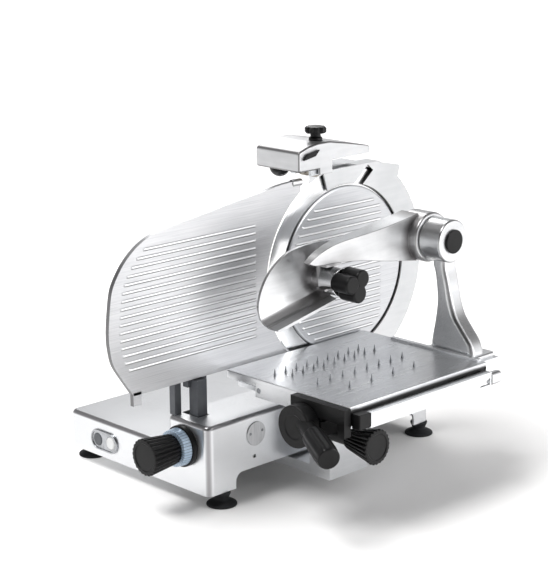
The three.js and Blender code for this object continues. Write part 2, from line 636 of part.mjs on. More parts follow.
function crankBracket() {
  const c = crankPlate;
  const outline = [[c.back, c.high], [c.front, c.high], [c.front, c.legLow], [c.front - c.leg, c.legLow],
    [c.front - c.leg, c.low], [crank.x + crank.boss, c.low]];
  return union([
    prism("y", [...outline, [crank.x, c.low], [c.back, crank.z]], c.near, c.far),
    rod("y", c.near, c.far, crank.x, crank.z, crank.boss, 32),
    box(c.webBack, c.webFront, c.near + gap, c.webFar, c.webLow, bed.low - gap),
  ]).subtract(rod("y", c.near - gap, c.far + gap, crank.x, crank.z, crank.shaft + gap));
}

function crankDirection() {
  return new THREE.Vector3(crank.gripX, crank.gripY, crank.gripZ);
}

// A turned piece laid from the crank centre towards the free end; profile heights are shares of that length.
function alongGrip(profile, sides) {
  const way = crankDirection();
  const long = way.length();
  const g = new THREE.LatheGeometry(profile.map(([r, s]) => new THREE.Vector2(r, s * long)), sides);
  g.applyQuaternion(new THREE.Quaternion().setFromUnitVectors(axisOf(1), way.clone().normalize()));
  return solidOf(g.translate(crank.x + crank.startX, crank.centre, crank.z + crank.startZ));
}


function crankHub() {
  const c = crank;
  const hub = turned("y", [[0, c.hubFront], [c.hub - c.soft, c.hubFront], [c.hub, c.hubFront + c.soft],
    [c.hub, c.hubBack], [0, c.hubBack]], c.x, c.z, 32);
  const neck = alongGrip([[0, 0], [c.neck, 0], [c.neck, neckShare], [0, neckShare]], 24)
    .intersect(box(-reach, reach, -reach, c.hubBack, -reach, reach));
  return union([hub, rod("y", c.hubBack - gap, c.shaftEnd, c.x, c.z, c.shaft), neck]);
}

function crankGrip() {
  const long = crankDirection().length();
  const s = neckShare + gap / long;
  const r = crank.grip;
  const body = alongGrip([[0, s], [r * 0.88, s], [r * 0.95, s + 0.06], [r, swellShare], [r, 1 - 0.06], [r * 0.9, 1],
    [0, 1]], 24);
  const hub = rod("y", crank.hubFront - gap, crank.hubBack, crank.x, crank.z, crank.hub + gap, 32);
  return body.subtract(hub);
}

function feedPinion() {
  const outline = gearPoints(crank.x, crank.z, gearTeeth, gear.radius + gear.tip, gear.radius - gear.root, 0.22, 0.72);
  return prism("y", outline, gear.near, gear.far)
    .subtract(rod("y", gear.near - gap, gear.far + gap, crank.x, crank.z, crank.shaft + gap));
}

function feedRack() {
  const pitch = (tau * gear.radius) / gearTeeth;
  const line = crank.z + gear.radius;
  const tip = line - gear.tip, root = line + gear.root;
  const points = [[rack.back, rack.top], [rack.front, rack.top]];
  const from = crank.x + pitch * (Math.floor((rack.front - crank.x) / pitch) - 0.5);
  points.push([rack.front, root]);
  for (let x = from; x > rack.back + pitch; x -= pitch)
    points.push([x + pitch * 0.34, root], [x + pitch * 0.14, tip], [x - pitch * 0.14, tip], [x - pitch * 0.34, root]);
  points.push([rack.back, root]);
  return prism("y", points, gear.near, gear.far);
}

function lockKnob() {
  const rings = gearPoints(0, 0, gripFlutes, 1, 1 - lock.groove / lock.face, lobeShare, fluteShare);
  const crown = taperedPrism(rings, lock.face, lock.heel, -lock.front, lock.cone - lock.front);
  const neck = rod("y", lock.cone - lock.front - gap, -lock.neckEnd, 0, 0, lock.neck);
  return union([crown, neck]).rotate([0, 0, 90]).translate([0, lock.y, lock.z]);
}

function lockBlock() {
  const b = lock;
  const body = union([
    box(b.blockBack, b.blockFront, b.blockNear, b.blockFar, b.blockLow, bed.low - gap),
    rod("z", b.pinLow, b.blockLow + gap, (b.blockBack + b.blockFront) / 2, b.y, b.pin, 16),
  ]);
  return body.subtract(rod("x", b.blockBack - gap, b.blockFront + gap, b.y, b.z, b.neck + gap));
}

function column() {
  const p = pivot;
  return union([
    prism("y", columnPoints, columnNear, columnFar, 4 * gap, 1),
    prism("z", roundedRect(flange.back, flange.front, flange.near, flange.far, flange.soft), table.low + gap,
      flange.high, 3 * gap, 1),
    rod("x", p.bossBack, p.bossFront, p.y, p.z, p.boss, 36),
  ]).subtract(rod("x", -reach, reach, p.y, p.z, p.pin + gap));
}

function pressArm() {
  const p = pivot, a = press;
  const under = armPoints[7][1] + 4 * gap;
  const lug = [...arcPoints(head.y, head.z, a.lugRadius, -tau / 2, 0, 10), [head.y + a.lugRadius, under],
    [head.y - a.lugRadius, under]];
  const wedge = [[a.front + reach, -reach], [a.front + reach, reach], [a.back, reach], [a.back, a.lean],
    [a.tipBack, armPoints[5][0]], [a.tipBack, -reach]];
  return union([
    prism("x", armPoints, a.back, a.front, a.soft, 2).intersect(prism("z", wedge, 0, 2 * reach)),
    rod("x", a.hubBack, a.hubFront, p.y, p.z, a.hub, 32), prism("x", lug, a.back, a.lugThin, 3 * gap, 1),
    box(a.back, a.lugFront, head.y - a.lugRadius, head.y + a.lugRadius, a.lugStep, under),
  ]).subtract(union([
    rod("x", -reach, reach, p.y, p.z, p.pin + gap), rod("x", -reach, reach, head.y, head.z, head.bore + gap),
  ]));
}

function pressHead() {
  const outer = headSection, inner = headSection.map(([x, z]) => [x - head.thick, z]);
  const lip = [[headSection[0][0], headSection[0][1] - head.thick],
    [headSection[1][0] - head.thick, headSection[1][1] - head.thick]];
  const section = [...outer, ...inner.slice(2).reverse(), lip[1], lip[0]];
  const rise = [1, 0, 0, 0, 0, 1, headRise, 0, 0, 0, 1, 0, 0, 0, -headRise * headPoints[9][0], 1];
  const wallPiece = prism("y", section, head.near, head.far).transform(rise)
    .intersect(prism("x", headPoints, 0, reach));
  const boss = rod("x", headSection[4][0] - head.thick, head.bossFront, head.y, head.z, head.boss, 32);
  return wallPiece.add(boss).subtract(rod("x", headKnob.rodBack, reach, head.y, head.z, head.bore + gap));
}

function headRod() {
  const { rodBack, back, collar, neck } = headKnob;
  return union([rod("x", rodBack + gap, back - gap, head.y, head.z, head.bore),
    rod("x", collar, back - gap, head.y, head.z, neck)]);
}

function pressKnob() {
  const { back, front, lobe, lobeOffset, lobeSoft: soft, core } = headKnob;
  const pieces = [rod("x", back, front, head.y, head.z, core, 24)];
  for (let i = 0; i < 3; i++) {
    const t = tau / 8 + (tau * i) / 3;
    pieces.push(turned("x", [[0, back], [lobe - soft / 2, back], [lobe, back + soft], [lobe, front - soft],
      [lobe - soft / 2, front], [0, front]], head.y + lobeOffset * Math.cos(t), head.z + lobeOffset * Math.sin(t), 16));
  }
  return union(pieces);
}

const finishes = {
  cast: [0xd9dcde, 0.34, 0.85], polished: [0xe4e7ea, 0.18, 1], brushed: [0xc3c8cb, 0.34, 1], steel: [0xb4babf, 0.3, 1],
  chrome: [0xe8eaec, 0.08, 1], black: [0x1b1c1e, 0.5, 0], rubber: [0x17181a, 0.85, 0], iron: [0x3b3e42, 0.6, 0.7],
  blue: [0xa9bfd2, 0.42, 0.1], white: [0xf0f1f0, 0.4, 0], stone: [0xb9b2a4, 0.95, 0], dark: [0x25282b, 0.45, 0.1],
};

const group = new THREE.Group();
const nodes = [];

function add(name, finish, solid) {
  const made = solid.getMesh();
  const g = new THREE.BufferGeometry();
  g.setAttribute("position", new THREE.BufferAttribute(new Float32Array(made.vertProperties), 3));
  g.setIndex(new THREE.BufferAttribute(new Uint32Array(made.triVerts), 1));
  g.computeVertexNormals();
  const [color, roughness, metalness] = finishes[finish];
  const mesh = new THREE.Mesh(g, new THREE.MeshStandardMaterial({ color, roughness, metalness }));
  mesh.name = name;
  nodes.push(mesh);
  group.add(mesh);
}

add("base_housing", "cast", baseHousing());
add("floor_cover", "steel", floorCover());
[[foot.left, foot.front], [foot.right, foot.front], [foot.left, foot.back], [foot.right, foot.back]]
  .forEach(([x, y], i) => add("foot_" + (i + 1), "rubber", footAt(x, y)));
add("switch_bezel", "steel", switchBezel());
add("button_off", "dark", pushButton(panel.x - panel.half + gap));
add("button_on", "white", pushButton(panel.x + panel.half - gap));
add("blank_plate", "brushed", blankPlate());

add("motor", "iron", motorBody());
add("motor_pulley", "steel", pulleyWheel(drive.z, pulley.small, drive.shaftRadius + gap));
add("drive_belt", "rubber", driveBelt());
add("blade_pulley", "steel", pulleyWheel(bladeZ, pulley.big, shaft.radius + gap));
add("blade_shaft", "steel", bladeShaft());
add("blade_bearing", "steel", ringRod("x", stand.front - stand.wall, stand.face - 4 * gap, 0, bladeZ, stand.ball,
  shaft.radius + gap, 24));
add("blade", "polished", bladeDisc());
add("blade_cover", "brushed", bladeCover());
add("cover_knob", "black", tieKnob());
add("blade_stand", "cast", bladeStand());
add("stand_cover", "brushed", standCover());
add("ring_guard", "cast", ringGuard());

add("sharpener_housing", "cast", sharpenerHousing());
add("stone_holder", "steel", stoneHolder());
add("grinding_stone", "stone", grindingStone(holder.rearLeg + gap, -stone.clear));
add("deburring_stone", "stone", grindingStone(stone.clear, holder.frontLeg - gap));
add("sharpener_knob", "black", sharpenerKnob());
add("sharpener_stop_knob", "black", stopKnobDome());
add("sharpener_latch", "black", sharpenerLatch());

add("gauge_plate", "brushed", gaugePlate());
add("gauge_bracket", "iron", gaugeBracket());
add("gauge_post", "iron", box(post.back, post.front, post.near, post.far, base.highTop + gap, post.top));
add("gauge_guide_bar", "steel", rod("x", base.step + base.wall + gap, base.right - base.wall - gap, guideBar.y,
  guideBar.z, guideBar.radius));
add("dial_disc", "black", dialDisc());
add("dial_ring", "blue", dialRing());
add("thickness_knob", "black", thicknessKnob());

const railNear = base.front + base.wall + gap, railFar = base.back - base.wall - gap;
add("slide_rod", "chrome", rod("y", railNear, railFar, rail.x, rail.z, rail.radius));
add("side_rod", "chrome", rod("y", railNear, railFar, rail.sideX, rail.z, rail.sideRadius));
add("carriage_arm", "cast", carriageArm());
add("carriage_plate", "cast", carriagePlate());
add("feed_rod_near", "chrome", rod("x", bed.back, bed.front, feedRod.near, feedRod.z, feedRod.radius));
add("feed_rod_far", "chrome", rod("x", bed.back, bed.front, feedRod.far, feedRod.z, feedRod.radius));
add("feed_rack", "steel", feedRack());
add("lock_block", "cast", lockBlock());
add("lock_knob", "black", lockKnob());

add("product_table", "brushed", productTable());
add("toothed_strip", "polished", toothedStrip());
add("strip_end_stop", "black", stripEndStop());
add("strip_end_cap", "cast", stripCap());
add("crank_bracket", "black", crankBracket());
add("crank_hub", "black", crankHub());
add("crank_grip", "black", crankGrip());
add("feed_pinion", "steel", feedPinion());

add("column", "cast", column());
add("pivot_pin", "steel", rod("x", pivot.pinEnd, pivot.bossFront, pivot.y, pivot.z, pivot.pin));
add("pivot_cap", "black", rod("x", pivot.bossFront + gap, pivot.bossFront + gap + pivot.capThick, pivot.y, pivot.z,
  pivot.cap, 32));
add("press_arm", "cast", pressArm());
add("press_head", "cast", pressHead());
add("head_rod", "chrome", headRod());
add("head_knob", "black", pressKnob());

// The middle of the footprint is X = 0, Y = 0 and the soles of the feet stand on Z = 0.
const bounds = new THREE.Box3().setFromObject(group);
const middle = bounds.getCenter(new THREE.Vector3());
group.position.set(-middle.x, -middle.y, 0);
group.updateMatrixWorld(true);

export default group;
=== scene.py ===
import math
import bmesh
import bpy
from mathutils import Matrix, Vector


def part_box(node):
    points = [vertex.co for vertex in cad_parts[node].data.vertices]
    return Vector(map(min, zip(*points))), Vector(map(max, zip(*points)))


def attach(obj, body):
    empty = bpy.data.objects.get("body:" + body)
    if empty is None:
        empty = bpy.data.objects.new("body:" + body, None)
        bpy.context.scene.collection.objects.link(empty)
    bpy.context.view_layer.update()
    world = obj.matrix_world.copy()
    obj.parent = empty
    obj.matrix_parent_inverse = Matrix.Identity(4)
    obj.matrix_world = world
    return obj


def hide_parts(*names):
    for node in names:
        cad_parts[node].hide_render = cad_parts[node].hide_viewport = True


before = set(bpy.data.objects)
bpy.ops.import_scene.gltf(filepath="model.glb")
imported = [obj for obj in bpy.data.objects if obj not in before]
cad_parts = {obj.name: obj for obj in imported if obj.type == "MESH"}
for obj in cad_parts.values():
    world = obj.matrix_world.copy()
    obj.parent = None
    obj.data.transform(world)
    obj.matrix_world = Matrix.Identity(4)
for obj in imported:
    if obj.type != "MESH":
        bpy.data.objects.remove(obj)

tau = 2 * math.pi
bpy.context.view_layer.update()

# All lengths are millimetres in the machine's own axes: blade plane x = 0, blade axis y = 0, soles z = 0.
bladeBack = 3.2     # from the blade plane to the blade's rear face
bladeZ = 322        # height of the blade's axis
dialAxis = (4, 98)  # x and z of the thickness dial's axis
gap = 0.3           # air between neighbouring pieces
over = 6            # how far a cut runs past the wall that it opens
beyond = 400        # a cut this long reaches past the whole machine
pole = 0.01         # radius of a solid turned profile's ends, on its axis
bladeLow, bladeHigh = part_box("blade")
machineZero = Vector((bladeLow.x + bladeBack / 1000, (bladeLow.y + bladeHigh.y) / 2, 0))


def at(x, y, z):
    return machineZero + Vector((x, y, z)) / 1000


# plain geometry: every maker below returns (points, faces)

def along(axis, a, b, h):
    if axis == "x":
        return (h, a, b)
    if axis == "y":
        return (a, h, b)
    return (a, b, h)


def arc(a, b, radius, start, end, steps):
    return [(a + radius * math.cos(start + (end - start) * i / steps),
             b + radius * math.sin(start + (end - start) * i / steps)) for i in range(steps + 1)]


def roundRect(x0, x1, y0, y1, r, steps=8):
    q = tau / 4
    return (arc(x1 - r, y1 - r, r, 0, q, steps) + arc(x0 + r, y1 - r, r, q, 2 * q, steps)
            + arc(x0 + r, y0 + r, r, 2 * q, 3 * q, steps) + arc(x1 - r, y0 + r, r, 3 * q, 4 * q, steps))


def filleted(points, radius, steps=4, closed=False):
    # a fillet takes no more than this share of either side, and a nearly straight corner stays as it is
    sideShare, nearlyStraight = 0.45, 3.05
    made = []
    count = len(points)
    for i, p in enumerate(points):
        if not closed and i in (0, count - 1):
            made.append(tuple(p))
            continue
        here, before, after = Vector(p), Vector(points[i - 1]), Vector(points[(i + 1) % count])
        toBefore, toAfter = before - here, after - here
        r = min(radius, toBefore.length * sideShare, toAfter.length * sideShare)
        if r < 1e-6 or toBefore.angle(toAfter) > nearlyStraight:
            made.append(tuple(p))
            continue
        start, end = here + toBefore.normalized() * r, here + toAfter.normalized() * r
        for k in range(steps + 1):
            t = k / steps
            made.append(tuple(start * (1 - t) ** 2 + here * 2 * t * (1 - t) + end * t ** 2))
    return made


def curveThrough(points, perSpan=6, closed=False):
    count = len(points)
    spans = count if closed else count - 1
    made = []
    for i in range(spans):
        ids = [i - 1, i, i + 1, i + 2]
        if closed:
            p = [Vector(points[k % count]) for k in ids]
        else:
            p = [Vector(points[min(max(k, 0), count - 1)]) for k in ids]
        for k in range(perSpan):
            t = k / perSpan
            made.append(tuple(0.5 * (2 * p[1] + (p[2] - p[0]) * t
                                     + (2 * p[0] - 5 * p[1] + 4 * p[2] - p[3]) * t ** 2
                                     + (3 * p[1] - p[0] - 3 * p[2] + p[3]) * t ** 3)))
    if not closed:
        made.append(tuple(points[-1]))
    return made


def sampled(line, height):
    # where a line of (place, height) points that climbs passes a height
    for (x0, z0), (x1, z1) in zip(line, line[1:]):
        if height <= z1:
            return x0 + (x1 - x0) * (height - z0) / (z1 - z0) if z1 > z0 else x1
    return line[-1][0]


def loft(sections, capped=True, ring=True):
    n = len(sections[0])
    points = [p for section in sections for p in section]
    faces = []
    for s in range(len(sections) - 1):
        for i in range(n if ring else n - 1):
            j = (i + 1) % n
            faces.append((s * n + i, s * n + j, (s + 1) * n + j, (s + 1) * n + i))
    if capped:
        faces.append(tuple(range(n))[::-1])
        faces.append(tuple(range((len(sections) - 1) * n, len(sections) * n)))
    return points, faces


def prism(axis, outline, start, end):
    return loft([[along(axis, a, b, h) for a, b in outline] for h in (start, end)])


def block(x0, x1, y0, y1, z0, z1):
    return prism("z", [(x0, y0), (x1, y0), (x1, y1), (x0, y1)], z0, z1)


def softEnds(start, end, startSoft, endSoft, steps=6):
    # (inset, height) pairs that round over both ends of a block
    levels = []
    for i in range(steps + 1):
        t = tau / 4 * i / steps
        levels.append((startSoft * (1 - math.sin(t)), start + startSoft * (1 - math.cos(t))))
    for i in range(steps + 1):
        t = tau / 4 * (1 - i / steps)
        levels.append((endSoft * (1 - math.sin(t)), end - endSoft * (1 - math.cos(t))))
    return levels


def softBlock(x0, x1, y0, y1, z0, z1, corner, top=0, bottom=0):
    # upright corners of one radius, rounded over at the top and the bottom
    sections, leastCorner = [], 0.2
    for inset, z in softEnds(z0, z1, bottom, top):
        outline = roundRect(x0 + inset, x1 - inset, y0 + inset, y1 - inset, max(corner - inset, leastCorner))
        sections.append([(x, y, z) for x, y in outline])
    return loft(sections)


def turned(axis, a, b, profile, sides=96, lobes=0, depth=0, sharpness=1.0):
    # lobes cut flutes into the points whose third value is above 0
    bored = profile[0][0] > 0 and profile[-1][0] > 0
    rings = []
    for p in (list(profile) + [profile[0]] if bored else profile):
        r, h = p[0], p[1]
        share = p[2] if len(p) > 2 else 0
        ring = []
        for i in range(sides):
            t = tau * i / sides
            wave = (0.5 - 0.5 * math.cos(lobes * t)) ** sharpness if lobes else 0
            now = r - depth * share * wave
            ring.append(along(axis, a + now * math.cos(t), b + now * math.sin(t), h))
        rings.append(ring)
    return loft(rings, capped=not bored)


def rod(axis, start, end, a, b, radius, sides=48, soft=0.6, bore=pole, steps=3):
    # a round bar or disc, or a ring where bore is the radius of its hole
    profile = [(bore, start), (radius, start), (radius, end), (bore, end)]
    return turned(axis, a, b, filleted(profile, soft, steps), sides)


def moved(solid, matrix):
    points, faces = solid
    return [tuple(matrix @ Vector(p)) for p in points], faces


# pieces

edgeRules = dict(smoothUpTo=38, flatUpTo=0.6, merge=2e-6)  # degrees, degrees, metres
edgeGroup = bpy.data.node_groups.new("smoothByAngle", "GeometryNodeTree")


def buildEdgeGroup():
    face = edgeGroup.interface
    face.new_socket("Geometry", in_out="INPUT", socket_type="NodeSocketGeometry")
    face.new_socket("Geometry", in_out="OUTPUT", socket_type="NodeSocketGeometry")
    nodes, links = edgeGroup.nodes, edgeGroup.links
    source, sink = nodes.new("NodeGroupInput"), nodes.new("NodeGroupOutput")
    allSmooth, sharp = nodes.new("GeometryNodeSetShadeSmooth"), nodes.new("GeometryNodeSetShadeSmooth")
    sharp.domain = "EDGE"
    sharp.inputs["Shade Smooth"].default_value = False
    angle, steep = nodes.new("GeometryNodeInputMeshEdgeAngle"), nodes.new("FunctionNodeCompare")
    steep.operation = "GREATER_THAN"
    steep.inputs[1].default_value = math.radians(edgeRules["smoothUpTo"])
    links.new(source.outputs[0], allSmooth.inputs["Geometry"])
    links.new(allSmooth.outputs[0], sharp.inputs["Geometry"])
    links.new(angle.outputs[0], steep.inputs[0])
    links.new(steep.outputs[0], sharp.inputs["Selection"])
    links.new(sharp.outputs[0], sink.inputs[0])


buildEdgeGroup()


def bevelled(piece, width, segments, limit):
    bevel = piece.modifiers.new("edges", "BEVEL")
    bevel.width, bevel.segments = width / 1000, segments
    bevel.limit_method, bevel.angle_limit = "ANGLE", math.radians(limit)


def soften(piece, width=0.0, segments=3, limit=40, weld=False):
    if weld:
        plain = piece.modifiers.new("plain faces", "DECIMATE")
        plain.decimate_type = "DISSOLVE"
        plain.angle_limit = math.radians(edgeRules["flatUpTo"])
    if width:
        bevelled(piece, width, segments, limit)
    shade = piece.modifiers.new("smooth", "NODES")
    shade.node_group = edgeGroup
    piece.modifiers.new("even light", "WEIGHTED_NORMAL").keep_sharp = True


def meshOf(name, solids):
    points, faces = [], []
    for more, sides in solids:
        start = len(points)
        points += [at(*p) for p in more]
        faces += [tuple(start + i for i in face) for face in sides]
    mesh = bpy.data.meshes.new(name)
    mesh.from_pydata(points, [], faces)
    work = bmesh.new()
    work.from_mesh(mesh)
    bmesh.ops.remove_doubles(work, verts=work.verts, dist=edgeRules["merge"])
    bmesh.ops.recalc_face_normals(work, faces=work.faces)
    work.to_mesh(mesh)
    work.free()
    return mesh


def laidOut(name, data):
    made = bpy.data.objects.new(name, data)
    bpy.context.scene.collection.objects.link(made)
    return made


def newPiece(name, solids, body, material, replaced=(), width=0.0, segments=3, limit=40):
    piece = laidOut(name, meshOf(name, solids))
    piece.data.materials.append(material)
    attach(piece, body)
    if replaced:
        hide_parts(*([replaced] if isinstance(replaced, str) else replaced))
    soften(piece, width, segments, limit)
    return piece


def settled(work, helpers=()):
    # the mesh that the modifiers leave, as points and faces; the objects go
    bpy.context.view_layer.update()
    made = bpy.data.meshes.new_from_object(work.evaluated_get(bpy.context.evaluated_depsgraph_get()))
    points = [tuple((v.co - machineZero) * 1000) for v in made.vertices]
    faces = [tuple(p.vertices) for p in made.polygons]
    for old in [*helpers, work]:
        bpy.data.objects.remove(old)
    return points, faces


def rounded(name, solids, width, segments, limit):
    # a bevelled solid, ready for further cuts
    work = laidOut(name, meshOf(name, solids))
    bevelled(work, width, segments, limit)
    return settled(work)


def carved(name, solids, cuts=(), keeps=(), joins=()):
    # a mesh after unions, intersections and subtractions, as a solid for newPiece
    work = laidOut(name, meshOf(name, solids))
    helpers = []
    for operation, group in (("UNION", joins), ("INTERSECT", keeps), ("DIFFERENCE", cuts)):
        for solid in group:
            helpers.append(laidOut("tool", meshOf("tool", [solid])))
            step = work.modifiers.new(operation, "BOOLEAN")
            step.operation, step.object, step.solver = operation, helpers[-1], "EXACT"
    return settled(work, helpers)


def dress(node, material, width=0.6, segments=2, limit=40):
    # a CAD node as it is, with a finish and softened edges
    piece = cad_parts[node]
    piece.data.materials.clear()
    piece.data.materials.append(material)
    soften(piece, width, segments, limit, weld=True)


# materials

class Wire:
    # one output of a node tree, so that shader maths reads as ordinary sums
    def __init__(self, shader, socket):
        self.shader, self.socket = shader, socket

    def math(self, operation, first, second=None):
        values = {0: first} if second is None else {0: first, 1: second}
        return self.shader.node("Math", {"operation": operation}, values)

    def __add__(self, other): return self.math("ADD", self, other)
    def __radd__(self, other): return self.math("ADD", other, self)
    def __sub__(self, other): return self.math("SUBTRACT", self, other)
    def __rsub__(self, other): return self.math("SUBTRACT", other, self)
    def __mul__(self, other): return self.math("MULTIPLY", self, other)
    def __rmul__(self, other): return self.math("MULTIPLY", other, self)
    def __truediv__(self, other): return self.math("DIVIDE", self, other)
    def __gt__(self, other): return self.math("GREATER_THAN", self, other)
    def __lt__(self, other): return self.math("LESS_THAN", self, other)
    def __mod__(self, other): return self.math("FLOORED_MODULO", self, other)
    def angleFrom(self, other): return self.math("ARCTAN2", self, other)
    def root(self): return self.math("SQRT", self)
    def size(self): return self.math("ABSOLUTE", self)


class Nodes:
    def __init__(self, tree):
        self.tree = tree

    def node(self, kind, settings=None, inputs=None, output=0):
        made = self.tree.nodes.new("ShaderNode" + kind)
        for key, value in (settings or {}).items():
            setattr(made, key, value)
        for key, value in (inputs or {}).items():
            self.feed(made.inputs[key], value)
        return Wire(self, made.outputs[output])

    def feed(self, socket, value):
        if isinstance(value, Wire):
            self.tree.links.new(value.socket, socket)
        else:
            socket.default_value = value

    def split(self, value):
        parts = self.tree.nodes.new("ShaderNodeSeparateXYZ")
        self.feed(parts.inputs[0], value)
        return [Wire(self, parts.outputs[i]) for i in range(3)]

    def spanned(self, value, low, high, to0=0.0, to1=1.0):
        # low to high becomes to0 to to1, and it stays there beyond them
        return self.node("MapRange", {}, {0: value, 1: low, 2: high, 3: to0, 4: to1})


class Shader(Nodes):
    def __init__(self, name, metallic, roughness, **fixed):
        self.material = bpy.data.materials.new(name)
        self.material.use_nodes = True
        super().__init__(self.material.node_tree)
        self.surface = self.tree.nodes["Principled BSDF"]
        self.surface.inputs["Metallic"].default_value = metallic
        self.surface.inputs["Roughness"].default_value = roughness
        for socket, value in fixed.items():
            self.surface.inputs[socket.replace("_", " ")].default_value = value

    def place(self):
        return self.node("TexCoord", output="Object")

    def facing(self):
        return self.split(self.node("TexCoord", output="Normal"))

    def spread(self, stretch=(1, 1, 1), turn=(0, 0, 0)):
        return self.node("Mapping", {}, {"Vector": self.place(), "Scale": stretch, "Rotation": turn})

    def noise(self, where, scale, detail=3.0, rough=0.55):
        return self.node("TexNoise", {}, {"Vector": where, "Scale": scale, "Detail": detail, "Roughness": rough})

    def between(self, factor, first, second):
        return self.node("Mix", {"data_type": "RGBA"}, {0: factor, 6: (*first, 1), 7: (*second, 1)}, output=2)

    def blend(self, factor, first, second):
        return self.node("Mix", {"data_type": "RGBA"}, {0: factor, 6: first, 7: second}, output=2)

    def colour(self, value): self.feed(self.surface.inputs["Base Color"], value)
    def rough(self, value): self.feed(self.surface.inputs["Roughness"], value)

    def bump(self, height, strength, distance):
        made = self.node("Bump", {}, {"Height": height, "Strength": strength, "Distance": distance / 1000})
        self.feed(self.surface.inputs["Normal"], made)


def castMetal(name, light=(0.80, 0.81, 0.825), dark=(0.69, 0.705, 0.725), roughness=0.30, grain=0.35, edgeShade=0.0,
              tone=(0.20, 0.19, 0.20), paintedShade=None, reach=(0.16, 0.46)):
    # bead-blasted, anodised aluminium: faint clouding, tiny grain; painted shade where an edge is rounded over, and
    # painted shade where a mask says, both darkening towards tone
    s = Shader(name, 0.93, roughness)
    clouds = s.noise(s.place(), 9, 4)
    streaks = s.noise(s.spread((3, 3, 26)), 5, 4)
    body = s.between(s.spanned(clouds * 0.65 + streaks * 0.35, 0.38, 0.64), dark, light)
    # painted shade: rounded edges, whose normals lie between the axes, turn towards tone
    if edgeShade:
        nx, ny, nz = s.facing()
        level = s.spanned((ny * nz).size() + (nx * nz).size(), *reach)
        upright = s.spanned((nx * ny).size(), 0.30, 0.49)
        body = s.blend(level.math("MAXIMUM", level, upright) * edgeShade, body, (*tone, 1))
    # painted shade from the mask, in tone
    if paintedShade:
        body = s.blend(paintedShade(s), body, (*tone, 1))
    s.colour(body)
    fine = s.noise(s.place(), 1900, 2)
    s.rough(s.spanned(clouds * 0.2 + fine * 0.8, 0.3, 0.7, roughness - 0.04, roughness + 0.08))
    s.bump(fine, grain, 0.06)
    return s.material


def brushedMetal(name, stretch, light=(0.79, 0.80, 0.815), dark=(0.60, 0.615, 0.64), roughness=0.27, metallic=1.0,
                 paintedShade=None, crest=None):
    # lines run along the axis whose stretch is small; a mask darkens the colour as painted shade, and what stands
    # proud of crest (x in mm) gets a painted white highlight
    s = Shader(name, metallic, roughness)
    lines = s.noise(s.spread(stretch), 1.0, 5, 0.62)
    broad = s.noise(s.place(), 6, 3)
    plain = s.between(s.spanned(lines * 0.7 + broad * 0.3, 0.36, 0.66), dark, light)
    # painted highlight on the crests of the ribs
    if crest is not None:
        proud = (s.split(s.place())[0] - at(crest, 0, 0).x) * 1000.0
        plain = s.blend(s.spanned(proud, 0.5, 1.3, 0.0, 0.62), plain, (0.97, 0.97, 0.975, 1))
    # painted shade, nearly black, where the mask says
    s.colour(s.blend(paintedShade(s), plain, (0.03, 0.028, 0.028, 1)) if paintedShade else plain)
    s.rough(s.spanned(lines, 0.3, 0.7, roughness + 0.08, roughness - 0.06))
    s.bump(lines, 0.10, 0.05)
    return s.material


def turnedMetal(name, centre, light, dark, roughness, rings=900):
    # concentric tool marks round an axis along x through centre (y, z)
    s = Shader(name, 1.0, roughness)
    middle = at(0, *centre)
    _, y, z = s.split(s.place())
    y, z = y - middle.y, z - middle.z
    radius = (y * y + z * z).root()
    turn = y.angleFrom(z)
    where = s.node("CombineXYZ", {}, {0: radius * rings, 1: turn * 0.6, 2: 0.0})
    marks = s.noise(where, 1.0, 4, 0.6)
    glow = s.noise(s.node("CombineXYZ", {}, {0: turn * 1.3, 1: radius * 4, 2: 0.3}), 1.6, 2)
    s.colour(s.between(s.spanned(marks * 0.55 + glow * 0.45, 0.34, 0.66), dark, light))
    s.rough(s.spanned(marks, 0.3, 0.7, roughness - 0.03, roughness + 0.06))
    s.bump(marks, 0.08, 0.03)
    return s.material


def moulded(name, light, dark, roughness, grain=0.25, scale=900, coat=0.0, metallic=0.0):
    # moulded plastic, rubber or grit: patches, a fine grain and a few scuffs
    s = Shader(name, metallic, roughness, Coat_Weight=coat, Coat_Roughness=0.2, Specular_IOR_Level=0.2)
    patch = s.noise(s.place(), 22, 4)
    fine = s.noise(s.place(), scale, 3)
    scuff = s.spanned(s.noise(s.spread((90, 90, 30)), 3, 5, 0.7), 0.60, 0.74)
    tone = s.spanned(patch, 0.35, 0.68) * 0.75 + scuff * 0.25
    s.colour(s.between(tone, dark, light))
    s.rough(s.spanned(patch * 0.5 + fine * 0.5, 0.3, 0.7, roughness - 0.07, roughness + 0.08))
    s.bump(fine * 0.7 + patch * 0.3, grain, 0.08)
    return s.material


def dialBlue(name):
    # pale blue collar with plain dark division lines, 40 to a turn
    s = Shader(name, 0.25, 0.34)
    middle = at(dialAxis[0], 0, dialAxis[1])
    x, _, z = s.split(s.place())
    turn = (x - middle.x).angleFrom(z - middle.z)
    steps = ((turn / tau) * 40 + 40.0) % 1.0
    line = s.spanned((steps - 0.5).size(), 0.39, 0.43)
    patch = s.spanned(s.noise(s.place(), 60, 4), 0.35, 0.65)
    plain = s.between(patch, (0.36, 0.47, 0.60), (0.50, 0.61, 0.73))
    s.colour(s.blend(line * 0.8, plain, (0.07, 0.10, 0.15, 1)))
    s.rough(s.spanned(patch, 0, 1, 0.28, 0.42))
    s.bump(line * -1.0 + s.noise(s.place(), 900, 2) * 0.1, 0.3, 0.2)
    return s.material


# masks of painted shade, from places in machine mm and from the way a face looks
shadePlaces = dict(earLow=(0, 14, 450), earHigh=(0, 80, 497), slot=(270, 0, 201), strip=286, toothPitch=5.0)


def flankShade(s):
    # painted shade: the lower flank of each rib and the rounded rim are darkened
    _, y, z = s.facing()
    under, rim = s.spanned(z, -0.8, -0.12, 0.8, 0.0), s.spanned(y.size(), 0.3, 0.8, 0.0, 0.7)
    return under.math("MAXIMUM", under, rim)


def crownShade(s):
    # painted shade: the top of the sharpener's housing is darker than its sides
    return s.spanned(s.facing()[2], 0.55, 0.95, 0.0, 0.42)


